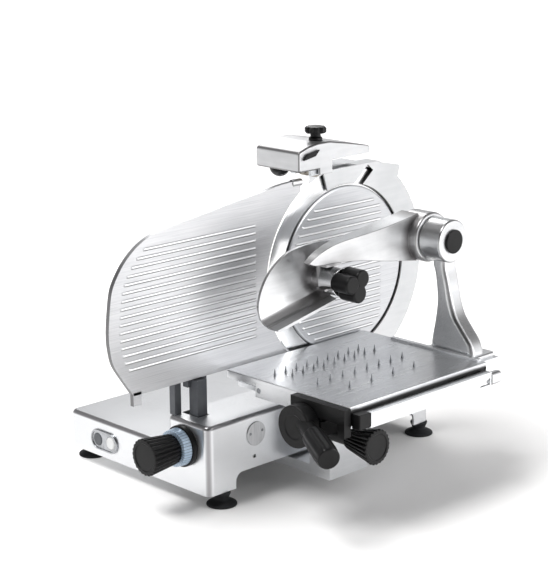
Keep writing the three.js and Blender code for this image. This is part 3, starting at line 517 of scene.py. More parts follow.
def earShade(s):
    # painted shade: the sawn walls of the slot beside the guard's ear are darkened
    _, y, z = s.split(s.place())
    low, high = at(*shadePlaces["earLow"]), at(*shadePlaces["earHigh"])
    inside = (y > low.y) * (y < high.y) * (z > low.z) * (z < high.z)
    return s.spanned(s.facing()[0].size(), 0.25, 0.55, 0.9, 0.0) * inside


def slotShadow(s):
    # painted shadow: the side of the table is dark just above the toothed strip
    x, _, z = s.split(s.place())
    low = at(*shadePlaces["slot"])
    return s.spanned(z, low.z - 0.003, low.z + 0.001, 0.9, 0.0) * s.spanned(x, low.x, low.x + 0.004)


def toothShade(s):
    # painted shade: teeth that darken towards the slot, with the gaps between them
    x, y, _ = s.split(s.place())
    depth = (x - at(shadePlaces["strip"], 0, 0).x) * 1000.0
    tooth = ((y * 1000.0) / shadePlaces["toothPitch"]) % 1.0
    gaps = s.spanned((tooth - 0.5).size(), 0.2, 0.4) * s.spanned(depth, 6.5, 8.5, 0.6, 0.0)
    both = s.spanned(depth, 1.0, 7.5, 0.55, 0.12) * s.spanned(depth, 9.4, 10.2, 1.0, 0.0) + gaps
    return both.math("MINIMUM", both, 0.92)


castSilver = castMetal("cast silver", (0.78, 0.79, 0.805), (0.69, 0.705, 0.725), edgeShade=0.6)
castBright = castMetal("cast bright", (0.78, 0.785, 0.795), (0.68, 0.69, 0.70), 0.27, 0.25, 0.72, (0.15, 0.145, 0.145))
baseSilver = castMetal("base casting", (0.79, 0.80, 0.815), (0.76, 0.77, 0.785), 0.29, 0.25, 0.74, reach=(0.05, 0.34))
sharpenerSilver = castMetal("sharpener casting", (0.62, 0.625, 0.635), (0.52, 0.525, 0.535), 0.38, 0.3, 0.85,
                            (0.12, 0.115, 0.115), crownShade)
guardSilver = castMetal("guard casting", (0.64, 0.645, 0.655), (0.56, 0.57, 0.58), 0.36, 0.25, 0.7, (0.08, 0.07, 0.065),
                        earShade)
sheetSilver = brushedMetal("sheet brushed along y", (900, 14, 900))
tableSilver = brushedMetal("table brushed", (700, 9, 700), (0.84, 0.85, 0.86), (0.70, 0.71, 0.73), 0.30,
                           paintedShade=slotShadow)
gaugeSilver = brushedMetal("gauge brushed", (700, 10, 800), (0.66, 0.66, 0.67), (0.53, 0.535, 0.55), 0.40,
                           paintedShade=flankShade, crest=0)
coverSilver = brushedMetal("cover brushed", (700, 10, 800), (0.64, 0.645, 0.66), (0.50, 0.51, 0.53), 0.36,
                           paintedShade=flankShade, crest=6)
plateGrey = brushedMetal("blank plate grey", (600, 600, 30), (0.60, 0.60, 0.61), (0.44, 0.445, 0.455), 0.40)
rimSteel = brushedMetal("switch rim steel", (60, 60, 60), (0.52, 0.53, 0.55), (0.34, 0.35, 0.365), 0.24)
bladeSteel = turnedMetal("blade steel", (0, bladeZ), (0.92, 0.925, 0.93), (0.78, 0.79, 0.80), 0.16)
plainSteel = brushedMetal("turned steel", (40, 700, 700), (0.66, 0.68, 0.70), (0.46, 0.48, 0.50), 0.28)
spikeSteel = brushedMetal("spike steel", (50, 50, 50), (0.34, 0.35, 0.37), (0.20, 0.21, 0.22), 0.30)
stripSteel = brushedMetal("strip steel", (900, 20, 900), (0.82, 0.83, 0.84), (0.64, 0.655, 0.67), 0.22,
                          paintedShade=toothShade)
rodChrome = brushedMetal("rod chrome", (60, 60, 60), (0.88, 0.89, 0.90), (0.78, 0.79, 0.80), 0.08)
blackKnob = moulded("black knob", (0.012, 0.0118, 0.0122), (0.0035, 0.0035, 0.0038), 0.36, 0.35)
blackSatin = moulded("black satin", (0.014, 0.0137, 0.0142), (0.0045, 0.0045, 0.0048), 0.40, 0.4)
footRubber = moulded("foot rubber", (0.034, 0.035, 0.037), (0.014, 0.0145, 0.016), 0.68, 0.5, 600)
darkIron = moulded("dark iron", (0.135, 0.142, 0.152), (0.085, 0.09, 0.10), 0.48, 0.5, 420, metallic=0.4)
whiteGloss = moulded("white gloss", (0.86, 0.865, 0.86), (0.78, 0.785, 0.78), 0.28, 0.1, 700, 0.3)
greyCap = moulded("grey button", (0.16, 0.17, 0.18), (0.10, 0.105, 0.115), 0.38, 0.15, 700)
gritStone = moulded("grit stone", (0.60, 0.56, 0.49), (0.34, 0.31, 0.27), 0.92, 1.0, 1500)
dialPale = dialBlue("dial blue")
print("stage: materials")

# base

baseShape = dict(left=-295, step=-38, right=61, front=-367, back=163, bottom=23.4, low=88.5, high=139.3, wall=4,
                 corner=13, edge=7, mouth=10, postSlot=(-29, 11, -342, -318), beltSlot=(-78, -58, -32, 32, 80, 90),
                 dialBore=7.3)
archShape = dict(front=-308, back=122, bottom=16.4, top=49, round=14, deep=10)
panelShape = dict(x=-200, z=53, half=17, window=15, radius=18, proud=2.9, edge=1, lip=3, recess=1.1, boreHalf=9)
buttonShape = dict(radius=11, long=11, sunk=0.1, flat=6, dish=0.6, flatDish=0.3, shoulder=1.5, fall=1.6, soft=0.8)
blankShape = dict(y=-264, z=106, radius=20, thick=1.6, soft=0.6, screws=((-13, 2), (13, 3)),
                  # a low head with a round socket: radius and height above the plate
                  head=((pole, 0), (2.6, 0), (2.3, 0.5), (1.2, 0.5), (0.9, 0.1), (pole, 0.1)), headSoft=0.2)
lampShape = dict(y=-267, z=68, radius=3.2)
footShape = dict(places=((-281, -330), (50, -330), (-281, 148), (50, 148)), radius=25, rim=5, edgeShare=0.6,
                 slope=3, waist=12, flare=4, neck=14, head=15, top=23.1, soft=1.8)


def ovalAt(radius, steps=20):
    p = panelShape
    return (arc(p["x"] + p["half"], p["z"], radius, -tau / 4, tau / 4, steps)
            + arc(p["x"] - p["half"], p["z"], radius, tau / 4, 3 * tau / 4, steps))


def baseHousing():
    b, a = baseShape, archShape
    low = softBlock(b["left"], b["right"], b["front"], b["back"], b["bottom"], b["low"], b["corner"], b["edge"])
    high = softBlock(b["step"], b["right"], b["front"], b["back"], b["bottom"], b["high"], b["corner"], b["edge"])
    w = b["wall"]
    hollows = [block(x0 + w, b["right"] - w, b["front"] + w, b["back"] - w, b["mouth"], top - w)
               for x0, top in ((b["left"], b["low"]), (b["step"], b["high"]))]
    r = a["round"]
    archway = prism("x", roundRect(a["front"], a["back"], a["bottom"] - r, a["top"], r),
                    b["right"] - a["deep"], b["right"] + over)
    frontWall, rightWall = (b["front"] - over, b["front"] + over), (b["right"] - over, b["right"] + over)
    cuts = hollows + [
        archway, block(*b["postSlot"], b["low"], b["high"] + 1), block(*b["beltSlot"]),
        rod("y", *frontWall, *dialAxis, b["dialBore"]), prism("y", ovalAt(panelShape["window"]), *frontWall),
        rod("x", *rightWall, lampShape["y"], lampShape["z"], lampShape["radius"], 32)]
    solid = carved("base", [low], cuts, joins=[high])
    newPiece("baseShell", [solid], "frame", baseSilver, "base_housing")


def footAt(i, x, y):
    f = footShape
    profile = [(pole, 0), (f["radius"], 0), (f["radius"], f["rim"] * f["edgeShare"]),
               (f["radius"] - f["slope"], f["rim"]), (f["waist"], f["neck"] - f["flare"]), (f["waist"], f["neck"]),
               (f["head"], f["top"] - f["slope"]), (f["head"], f["top"]), (pole, f["top"])]
    pad = turned("z", x, y, filleted(profile, f["soft"], 4), 72)
    newPiece("footPad%d" % i, [pad], "frame", footRubber, "foot_%d" % i)


def switchPanel():
    p, b = panelShape, buttonShape
    face = baseShape["front"] - gap
    outer, inner = ovalAt(p["radius"]), ovalAt(p["radius"] - p["lip"])
    rim = [[along("y", x, z, h) for x, z in ring] for ring, h in (
        (outer, face), (outer, face - p["proud"] + p["edge"]), (ovalAt(p["radius"] - p["edge"]), face - p["proud"]),
        (inner, face - p["proud"]), (inner, face - p["recess"]), (inner, face), (outer, face))]
    seats = [rod("y", face - p["boreHalf"], face + p["boreHalf"], p["x"] + side * (p["half"] - gap), p["z"],
                 b["radius"] + gap) for side in (-1, 1)]
    plate = carved("seat", [prism("y", inner, face - p["recess"], face)], seats)
    newPiece("switchRim", [loft(rim, capped=False), plate], "frame", rimSteel, "switch_bezel", 0.3, 2)
    near = baseShape["front"] - p["proud"] + b["sunk"]
    profile = filleted([(pole, near + b["dish"]), (b["flat"], near + b["flatDish"]),
                        (b["radius"] - b["shoulder"], near), (b["radius"], near + b["fall"]),
                        (b["radius"], near + b["long"]), (pole, near + b["long"])], b["soft"], 4)
    for name, side, material, slot, body in (("button_off", -1, greyCap, "black_plastic", "off_button"),
                                             ("button_on", 1, whiteGloss, "white_plastic", "on_button")):
        cap = turned("y", p["x"] + side * (p["half"] - gap), p["z"], profile, 64)
        newPiece(name + "Cap", [cap], body, material, name)


def blankOff():
    b = blankShape
    face = baseShape["right"] + gap
    top = face + b["thick"]
    disc = rod("x", face, top, b["y"], b["z"], b["radius"], 96, b["soft"])
    newPiece("blankDisc", [disc], "frame", plateGrey, "blank_plate")
    head = filleted([(radius, top + high) for radius, high in b["head"]], b["headSoft"], 2)
    screws = [turned("x", b["y"] + y, b["z"] + z, head, 24) for y, z in b["screws"]]
    newPiece("blankScrews", screws, "frame", spikeSteel)


baseHousing()
for i, (x, y) in enumerate(footShape["places"]):
    footAt(i + 1, x, y)
switchPanel()
blankOff()
dress("floor_cover", plainSteel, 0.3)
print("stage: base")

# blade, cover and guard

bladeShape = dict(radius=175, back=-bladeBack, front=2, heel=142, bevel=146, bore=16,
                  # the honed edge: how far in from the rim, and how far off the blade plane
                  edge=((-1, -1.0), (0, -0.35), (-0.6, 0)))
coverShape = dict(radius=143.6, back=2.3, front=6, rim=3, soft=1.2, ribRadius=133, ribEnd=92)
ribShape = dict(high=1.5, wide=5.4, crest=2.4, pitch=12.3, sunk=0.2, soft=1.0,
                # how much of its height a rib has at each distance from its end
                ends=((0, 0.05), (2.5, 0.75), (5, 1)))
guardShape = dict(inner=178.5, outer=195, back=-15.7, lip=4, front=7, lipRadius=147, top=497.7, bottom=139.6, soft=1.6,
                  sweep=(-0.185, 0.296))  # where the ring starts and ends, in turns from the far side
earOutline = [(58, 470), (70, 487), (76, 495), (88, 495), (138, 484), (132, 462), (150, 432), (120, 430)]
slotOutline = [(19, 465), (32, 453), (70, 484), (57, 495)]


def ribBar(y0, y1, z, x):
    r = ribShape
    half, crest, high, root = r["wide"] / 2, r["crest"] / 2, r["high"], x - r["sunk"]
    across = filleted([(-half, 0), (-crest, high), (crest, high), (half, 0)], r["soft"], 4)
    sections = []
    for y, share in [(y0 + d, share) for d, share in r["ends"]] + [(y1 - d, share) for d, share in r["ends"][::-1]]:
        sections.append([(root, y, z - half)] + [(x + h * share, y, z + a) for a, h in across]
                        + [(root, y, z + half)])
    return loft(sections)


def bladeAndCover():
    b, c, r = bladeShape, coverShape, ribShape
    profile = ([(b["bore"], b["back"]), (b["heel"], b["back"])] + [(b["radius"] + a, x) for a, x in b["edge"]]
               + [(b["bevel"], b["front"]), (b["bore"], b["front"])])
    newPiece("bladeDisc", [turned("x", 0, bladeZ, profile, 240)], "blade_unit", bladeSteel, "blade")
    rim = [(pole, c["back"]), (c["radius"], c["back"]), (c["radius"], c["front"] - c["rim"] / 2),
           (c["radius"] - c["rim"], c["front"]), (pole, c["front"])]
    solids = [turned("x", 0, bladeZ, filleted(rim, c["soft"], 4), 200)]
    count = int(c["ribRadius"] // r["pitch"]) - 1
    for i in range(-count, count + 1):
        rise = i * r["pitch"]
        reach = math.sqrt(c["ribRadius"] ** 2 - rise ** 2)
        solids.append(ribBar(-reach, min(c["ribEnd"], reach), bladeZ + rise, c["front"]))
    newPiece("coverPlate", solids, "frame", coverSilver, "blade_cover")


def ringGuard():
    g = guardShape
    section = filleted([(g["inner"], g["back"]), (g["outer"], g["back"]), (g["outer"], g["front"]),
                        (g["lipRadius"], g["front"]), (g["lipRadius"], g["lip"]), (g["inner"], g["lip"])], g["soft"], 3)
    ring = turned("x", 0, bladeZ, section, 200)
    start, end = g["sweep"]
    sweep = [(0, bladeZ)] + arc(0, bladeZ, beyond, start * tau, end * tau, 8)
    keeps = [prism("x", sweep, g["back"] - 1, g["front"] + 1), block(-100, 100, -300, 300, g["bottom"], g["top"])]
    lug = prism("x", filleted(earOutline, 4, 4, True), g["lip"], g["front"])
    solid = carved("guard", [ring], [prism("x", slotOutline, g["lip"] - 1, g["front"] + 1)], keeps, [lug])
    newPiece("guardRing", [solid], "frame", guardSilver, "ring_guard", 0.5, 2, 50)


bladeAndCover()
ringGuard()
dress("blade_stand", castSilver, 1.0, 3)
dress("stand_cover", sheetSilver, 0.6)
for node in ("blade_shaft", "blade_bearing", "motor_pulley", "blade_pulley"):
    dress(node, plainSteel, 0.3)
dress("motor", darkIron, 0.8)
dress("drive_belt", footRubber, 0.4)
dress("cover_knob", blackKnob, 0.6)
print("stage: blade, cover and guard")

# sharpener

housingShape = dict(back=-75, front=26, soft=3.5, corner=5, cheek=(20, 26, -79, 40, 498.3, 524),
                    seat=(-40, 25.5, -50, 39.5, 498.3, 524), bay=(-31, 20, -99, -54, 400, 538), roof=537,
                    cleared=(-200, 200, -50.3, 200, 400, 520.3))
housingOutline = [(-128, 507), (-50.4, 507), (-50.4, 520.3), (42, 520.3), (42, 532), (-10, 543), (-55, 551), (-82, 551),
                  (-106, 547.5), (-128, 540)]
topKnobShape = dict(y=-63, radius=18, stem=8.5, screw=4, tip=521.8, shoulder=538.3, base=551.3, neck=563.3, top=574.3,
                    lobes=10, depth=3.2, root=3, soft=0.8, collar=((3, 0), (2.6, 4), (0, 6)),
                    # in from the radius, off the crown's underside or top, and the share of the lobes' depth
                    under=((2, 0, 0), (0, 2, 1)), crown=((0, 3, 1), (2.4, 0.5, 0.4), (7, 0, 0)))
stopKnobShape = dict(x=-50, y=-97, radius=17.5, high=18, top=506.7, steps=14)


def sharpenerHousing():
    h = housingShape
    outline = filleted(housingOutline, h["corner"], 5, True)
    low, high = min(p[1] for p in outline), max(p[1] for p in outline)
    left, right = min(p[0] for p in outline), max(p[0] for p in outline)

    def inset(amount):
        sx, sz = 1 - 2 * amount / (right - left), 1 - 2 * amount / (high - low)
        cy, cz = (left + right) / 2, (low + high) / 2
        return [(cy + (a - cy) * sx, cz + (b - cz) * sz) for a, b in outline]

    levels = softEnds(h["back"], h["front"], h["soft"], h["soft"])
    shell = loft([[(x, y, z) for y, z in inset(amount)] for amount, x in levels])
    stemHole = rod("z", h["roof"], 2 * beyond, 0, topKnobShape["y"], topKnobShape["stem"] + gap)
    joins = [softBlock(*h[k], 1.5, 0.6, 0.6) for k in ("cheek", "seat")]
    solid = carved("shell", [shell], [block(*h["bay"]), stemHole, block(*h["cleared"])], joins=joins)
    newPiece("sharpenerShell", [solid], "frame", sharpenerSilver, "sharpener_housing", 0.5, 2, 55)


def screwKnob():
    # a fluted crown on a stem with the screw that lowers the stones
    k = topKnobShape
    crown = ([(pole, k["neck"])] + [(k["radius"] - inset, k["neck"] + h, share) for inset, h, share in k["under"]]
             + [(k["radius"] - inset, k["top"] - h, share) for inset, h, share in k["crown"]] + [(pole, k["top"], 0)])
    end = k["neck"] + k["root"]
    stem = filleted([(pole, k["tip"]), (k["screw"], k["tip"]), (k["screw"], k["shoulder"]), (k["stem"], k["shoulder"]),
                     (k["stem"], k["base"])] + [(k["stem"] + wide, k["base"] + h) for wide, h in k["collar"]]
                    + [(k["stem"], end), (pole, end)], k["soft"], 3)
    solids = [turned("z", 0, k["y"], crown, 160, k["lobes"], k["depth"]), turned("z", 0, k["y"], stem, 48)]
    newPiece("screwKnob", solids, "sharpener_screw", blackKnob, "sharpener_knob")


def stopKnob():
    # the black dome that hangs under the housing
    k = stopKnobShape
    angles = [-tau / 4 * (1 - i / k["steps"]) for i in range(k["steps"] + 1)]
    dome = [(k["radius"] * math.cos(t), k["top"] + k["high"] * math.sin(t)) for t in angles]
    dome[0] = (pole, dome[0][1])
    newPiece("stopKnob", [turned("z", k["x"], k["y"], dome + [(pole, k["top"])], 72)], "sharpener_stop",
             blackKnob, "sharpener_stop_knob")


sharpenerHousing()
screwKnob()
stopKnob()
dress("stone_holder", plainSteel, 0.6)
dress("grinding_stone", gritStone, 0.8)
dress("deburring_stone", gritStone, 0.8)
dress("sharpener_latch", blackSatin, 0.6)
print("stage: sharpener")

# gauge plate and dial

gaugeShape = dict(back=-8, bottom=201, clear=178, arcTop=148, ribInset=20, ribEnd=-201, ribLow=244, ribs=16,
                  tab=(-464, -448, 184), pin=6, pinZ=485, pinEnds=(-117, -94))
gaugeOutline = [(-463, 201), (-486, 234), (-501, 259), (-507, 286), (-508, 310), (-505, 341), (-500, 371), (-492, 389),
                (-477, 410), (-459, 427), (-439, 440), (-415, 449), (-379, 456), (-317, 464), (-253, 473), (-187, 481),
                (-142, 487), (-100, 489)]
dialShape = dict(x=dialAxis[0], z=dialAxis[1], disc=34, discThick=9, discSoft=1.2, ring=31,
                 ringThick=15, ringSoft=1.0, step=1.2)
knobShape = dict(long=58, front=30.5, back=24.5, flutes=24, depth=2.2, shaft=7, inside=12, end=-346)
camShape = dict(radius=13, throw=3.5, near=-358, far=-346.5, steps=56)


def gaugePlate():
    g, r = gaugeShape, ribShape
    round0 = tau / 2 - math.asin(g["arcTop"] / g["clear"])
    round1 = tau / 2 + math.asin((bladeZ - g["bottom"]) / g["clear"])
    edge = arc(0, bladeZ, g["clear"], round0, round1, 60)
    outline = curveThrough(gaugeOutline, 5) + [(edge[0][0], gaugeOutline[-1][1])] + edge
    solids = [prism("x", outline, g["back"], 0)]
    for i in range(g["ribs"]):
        z = g["ribLow"] + i * r["pitch"]
        solids.append(ribBar(sampled(gaugeOutline, z) + g["ribInset"], g["ribEnd"], z, 0))
    solids.append(block(g["back"], 0, *g["tab"], g["bottom"] + 5))
    solids.append(rod("y", *g["pinEnds"], g["back"] / 2, g["pinZ"], g["pin"], 48, 2))
    newPiece("gaugeWall", solids, "gauge", gaugeSilver, "gauge_plate", 0.9, 3, 60)


# both ends of a fluted grip: how far in from its radius and from its face (mm), and the share of the flutes' depth
gripEnds = dict(dish=1.2, dishShare=0.72, faceShare=0.76, face=((2.5, 0, 0.2), (0.6, 1.0, 0.8), (0, 2.6, 1)),
                heel=((0, 1.5, 1), (1.5, 0, 0.3)), steps=8, sharpness=1.6)


def fluted(axis, a, b, near, far, nearRadius, farRadius, flutes, depth, sides=240):
    # a ribbed grip whose wider end may lie either way
    e = gripEnds
    way = 1 if far > near else -1
    long = abs(far - near)
    profile = [(pole, near + way * e["dish"], 0), (nearRadius * e["dishShare"], near + way * e["dish"], 0),
               (nearRadius * e["faceShare"], near, 0)]
    profile += [(nearRadius - inset, near + way * h, share) for inset, h, share in e["face"]]
    for i in range(1, e["steps"]):
        share = i / e["steps"]
        profile.append((nearRadius + (farRadius - nearRadius) * share, near + way * long * share, 1))
    profile += [(farRadius - inset, far - way * h, share) for inset, h, share in e["heel"]] + [(pole, far, 0)]
    return turned(axis, a, b, profile, sides, flutes, depth, e["sharpness"])


def thicknessDial():
    # the disc against the base and the pale ring in front of it; returns where the ring ends
    d = dialShape
    bore = knobShape["shaft"] + gap
    far = baseShape["front"] - gap
    discFront = far - d["discThick"]
    disc = rod("y", far, discFront, d["x"], d["z"], d["disc"], 120, d["discSoft"], bore, 4)
    newPiece("dialBack", [disc], "frame", blackSatin, "dial_disc")
    ringFar = discFront - gap
    ringFront = ringFar - d["ringThick"]
    ring = filleted([(bore, ringFar), (d["ring"], ringFar), (d["ring"] - d["step"], ringFront), (bore, ringFront)],
                    d["ringSoft"], 4)
    newPiece("dialCollar", [turned("y", d["x"], d["z"], ring, 120)], "dial", dialPale, "dial_ring")
    return ringFront


def sliceKnob(near):
    # the fluted knob, its shaft into the base, and the cam that moves the gauge plate
    d, k, c = dialShape, knobShape, camShape
    cam = []
    for i in range(c["steps"]):
        t = tau * i / c["steps"]
        r = c["radius"] + c["throw"] * (1 - math.cos(t))
        cam.append((d["x"] + r * math.cos(t), d["z"] + r * math.sin(t)))
    solids = [fluted("y", d["x"], d["z"], near - k["long"], near, k["front"], k["back"], k["flutes"], k["depth"]),
              rod("y", near - k["inside"], k["end"], d["x"], d["z"], k["shaft"]),
              prism("y", cam, c["near"], c["far"])]
    newPiece("sliceKnob", solids, "dial", blackKnob, "thickness_knob")


gaugePlate()
sliceKnob(thicknessDial() - gap)
dress("gauge_bracket", darkIron, 1.2, 3)
dress("gauge_post", darkIron, 1.2, 3)
dress("gauge_guide_bar", rodChrome, 0.4)
print("stage: gauge and dial")

# carriage and table

tableShape = dict(back=9, front=282, near=-278, far=46, low=197, high=205, skirt=6, step=75, thinLow=192, deepLow=174,
                  bar=(80, 271, 208.5), shelf=(142, 260, 106, 189), bushes=(-236, 6), bush=(60, 100, 9, 183),
                  rodZ=189.5, rodBore=6.3, screw=(84, 186), screwSoft=0.4,
                  screwHead=((pole, -1.2), (3.6, -1.2), (4.5, -0.2), (4.5, 0.3), (pole, 0.3)))
# x, first y, pitch and number of spikes
spikeRows = ((87, -245, 24.3, 9), (108, -226, 24, 9), (168, -230, 28.3, 8), (214, -206, 50.3, 4))
spikeShape = dict(high=11, radius=2.1, root=1, collar=0.4, waist=4.5, waistShare=0.62, tip=0.35, tipFall=0.3)
lockShape = dict(y=-235, z=135, front=300, face=28.5, heel=16, cone=58, neck=12, neckEnd=162, flutes=24, depth=2.2)
stopBlock = (282.5, 299.8, -274.8, -250.5, 171.2, 194.8)
capShape = dict(near=37.3, back=288, front=302, low=171, high=192, corner=5,
                # how much of its section stands at each distance from its near end
                swell=((0.80, 0), (0.94, 0.8), (1, 2.4), (1, 18), (0.96, 22), (0.84, 24), (0.62, 24.7)))


def productTable():
    t = tableShape
    under = t["low"] + 0.12
    (barLeft, barRight, barTop), (shelfLeft, shelfRight, shelfFar, shelfLow) = t["bar"], t["shelf"]
    solids = [
        softBlock(t["back"], t["front"], t["near"], t["far"], t["low"], t["high"], 2.5, 1.6, 0),
        softBlock(t["back"], t["step"] - 0.6, t["near"], t["near"] + t["skirt"], t["thinLow"], under, 1.2, 0, 1),
        softBlock(t["step"] + 0.6, t["front"], t["near"], t["near"] + t["skirt"], t["deepLow"], under, 1.6, 0, 1.4),
        softBlock(t["front"] - t["skirt"], t["front"], t["near"] + 2, t["far"], t["deepLow"], under, 1.6, 0, 1.4),
        softBlock(t["back"], t["front"], t["far"] - t["skirt"], t["far"], t["thinLow"], under, 1.2, 0, 1),
        softBlock(barLeft, barRight, t["far"] - 10, t["far"], t["low"], barTop, 1.5, 1.2, 0),
        softBlock(shelfLeft, shelfRight, t["far"] - 6, shelfFar, shelfLow, t["low"] + 0.2, 3, 0.6, 1),
    ]
    left, right, half, low = t["bush"]
    for y in t["bushes"]:
        solids.append(carved("bush", [softBlock(left, right, y - half, y + half, low, t["low"] + 0.2, 2, 0.2, 1)],
                             [rod("x", left - 10, right + 10, y, t["rodZ"], t["rodBore"])]))
    newPiece("tablePlate", solids, "table", tableSilver, "product_table")


def tableSpikes():
    k, top = spikeShape, tableShape["high"]
    spike = [(pole, top - k["root"]), (k["radius"], top - k["root"]), (k["radius"], top + k["collar"]),
             (k["radius"] * k["waistShare"], top + k["waist"]), (k["tip"], top + k["high"] - k["tipFall"]),
             (pole, top + k["high"])]
    spikes = [turned("z", x, first + i * pitch, spike, 20) for x, first, pitch, count in spikeRows
              for i in range(count)]
    newPiece("tableSpikes", spikes, "table", spikeSteel)


def tableScrew():
    # a flat head that stands just proud of the near skirt
    t = tableShape
    profile = filleted([(radius, t["near"] + y) for radius, y in t["screwHead"]], t["screwSoft"], 3)
    newPiece("tableScrew", [turned("y", *t["screw"], profile, 40)], "table", spikeSteel)


def lockKnob():
    k = lockShape
    back = k["front"] - k["cone"]
    knob = [fluted("x", k["y"], k["z"], k["front"], back, k["face"], k["heel"], k["flutes"], k["depth"]),
            rod("x", back - gap, k["neckEnd"], k["y"], k["z"], k["neck"])]
    newPiece("lockGrip", knob, "lock", blackKnob, "lock_knob")


def stripEnds():
    # the black stop at the near end of the toothed strip and the cast cap at its far end
    c = capShape
    outline = roundRect(c["back"], c["front"], c["low"], c["high"], c["corner"], 6)
    cy, cz = (c["back"] + c["front"]) / 2, (c["low"] + c["high"]) / 2
    sections = []
    for share, y in c["swell"]:
        sections.append([(cy + (a - cy) * share, c["near"] + y, cz + (b - cz) * share) for a, b in outline])
    newPiece("stripStop", [softBlock(*stopBlock, 2, 1.2, 1.2)], "table", blackSatin, "strip_end_stop")
    newPiece("stripCap", [loft(sections)], "table", castBright, "strip_end_cap")


productTable()
tableSpikes()
tableScrew()
lockKnob()
stripEnds()
dress("toothed_strip", stripSteel, 0.35)
for node in ("carriage_arm", "carriage_plate", "lock_block"):
    dress(node, castSilver, 1.2, 3)
for node in ("slide_rod", "side_rod", "feed_rod_near", "feed_rod_far"):
    dress(node, rodChrome, 0.4)
for node in ("feed_rack", "feed_pinion"):
    dress(node, plainSteel, 0.15, 1)
print("stage: carriage and table")

# hand crank

crankShape = dict(x=202, z=164, hub=34, front=-318, back=-294.3, shaft=8, end=-258, centre=-306, neck=13, grip=19,
                  reach=(100.5, -50, -18.5), start=(12, 6), neckShare=0.344, dish=1.5, soft=3, flutes=10, depth=1.4,
                  # shares of the radius, of the way along the grip, and of the flutes' depth
                  rootShares=((0.80, 0, 0), (0.88, 0.015, 0.3), (0.93, 0.04, 1), (0.97, 0.10, 1)), dent=0.995,
                  gripShares=((1, 0.6, 1), (1, 0.75, 1), (0.99, 0.90, 1), (0.96, 0.955, 0.6), (0.90, 0.99, 0.1),
                              (0.82, 1, 0)))


def gripTurned(profile, sides=64, lobes=0, depth=0.0):
    c = crankShape
    way = Vector(c["reach"])
    long = way.length
    solid = turned("z", 0, 0, [(p[0], p[1] * long, *p[2:]) for p in profile], sides, lobes, depth)
    turn = Vector((0, 0, 1)).rotation_difference(way).to_matrix().to_4x4()
    return moved(solid, Matrix.Translation((c["x"] + c["start"][0], c["centre"], c["z"] + c["start"][1])) @ turn)


def crankHub():
    # the round hub, the root of the grip that grows out of it, and the shaft into the table
    c = crankShape
    hub = filleted([(pole, c["front"] + c["dish"]), (c["hub"] * 0.55, c["front"] + c["dish"]),
                    (c["hub"] * 0.6, c["front"]), (c["hub"], c["front"]), (c["hub"], c["back"]), (pole, c["back"])],
                   c["soft"], 5)
    root = gripTurned([(pole, 0), (c["neck"], 0), (c["neck"], c["neckShare"]), (pole, c["neckShare"])])
    neck = carved("neck", [root], [block(-beyond, beyond, c["back"], beyond, 0, 2 * beyond)])
    shaft = rod("y", c["back"] - gap, c["end"], c["x"], c["z"], c["shaft"])
    newPiece("crankHub", [turned("y", c["x"], c["z"], hub, 96), neck, shaft], "crank", blackSatin,
             "crank_hub", 0.5, 2, 55)


def crankHandle():
    c = crankShape
    start = c["neckShare"]
    body = ([(pole, start, 0)] + [(c["grip"] * wide, start + share, deep) for wide, share, deep in c["rootShares"]]
            + [(c["grip"] * wide, share, deep) for wide, share, deep in c["gripShares"]] + [(pole, c["dent"], 0)])
    hubRoom = rod("y", c["front"] - 1, c["back"], c["x"], c["z"], c["hub"] + gap)
    grip = carved("grip", [gripTurned(body, 120, c["flutes"], c["depth"])], [hubRoom])
    newPiece("crankHandle", [grip], "crank", blackKnob, "crank_grip")


crankHub()
crankHandle()
dress("crank_bracket", blackSatin, 0.9, 3)
print("stage: hand crank")

# column, arm and press

columnOutline = dict(left=[(156, 203), (158, 222), (164, 253), (168, 289), (164, 330), (158, 352), (160, 385)],
                     right=[(248, 203), (248, 207), (241, 226), (225, 245), (209, 265), (200, 287), (192, 318),
                            (184, 352), (190, 385)])
columnShape = dict(low=203.2, high=385, near=50, far=84, corner=9, steps=40, plinth=(149, 254, 47, 104, 197.3, 205))
pivotShape = dict(y=60, z=390, boss=36, back=151, front=195, pin=9, soft=4, cap=20, thick=4, capSoft=1.6)
armOutline = [(44, 431), (-6, 424), (-60, 418), (-146, 412), (-190, 401), (-214, 389), (-196, 383), (-150, 380),
              (-94, 374), (-30, 362), (40, 351)]
pressShape = dict(hub=42, hubSoft=5, edge=9, hubBack=104, hubFront=150.6, back=96, front=134, tipBack=120, lean=-20,
                  lug=17, lugThin=103, lugFront=118, lugStep=371, lugTop=381.2)
# the head's wall climbs by rise for each mm beyond pivot (y)
headShape = dict(y=-142, z=347, bore=11, boss=16, bossFront=95.6, thick=5, lip=4, near=-290, far=-80, rise=0.2,
                 pivot=-275)
headOutline = [(-95, 396), (-136, 405), (-171, 405), (-202, 402), (-220, 396), (-237, 385), (-253, 370), (-266, 350),
               (-274, 327), (-275, 306), (-269, 290), (-256, 284), (-239, 288), (-188, 299), (-150, 308), (-118, 330),
               (-95, 360)]
headSection = [(118, 288), (98, 290), (88, 301), (83, 325), (83, 362), (86, 388), (91, 408)]
headKnobShape = dict(back=136, front=173, lobes=3, lobe=15, lobeSoft=4, offset=14, turn=tau / 8, core=17, coreSoft=3,
                     neck=22.5, rodBack=79, collar=104)


def swanColumn():
    c, p = columnShape, pivotShape
    left, right = (curveThrough(columnOutline[side], 6) for side in ("left", "right"))
    sections = []
    for i in range(c["steps"] + 1):
        z = c["low"] + (c["high"] - c["low"]) * i / c["steps"]
        x0, x1 = sampled(left, z), sampled(right, z)
        r = min(c["corner"], (x1 - x0) * 0.3)
        sections.append([(x, y, z) for x, y in roundRect(x0, x1, c["near"], c["far"], r, 6)])
    boss = rod("x", p["back"], p["front"], p["y"], p["z"], p["boss"], 96, p["soft"], p["pin"] + gap, 5)
    foot = softBlock(*c["plinth"], 8, 2.5, 0)
    newPiece("columnCast", [loft(sections), boss, foot], "table", castBright, "column")


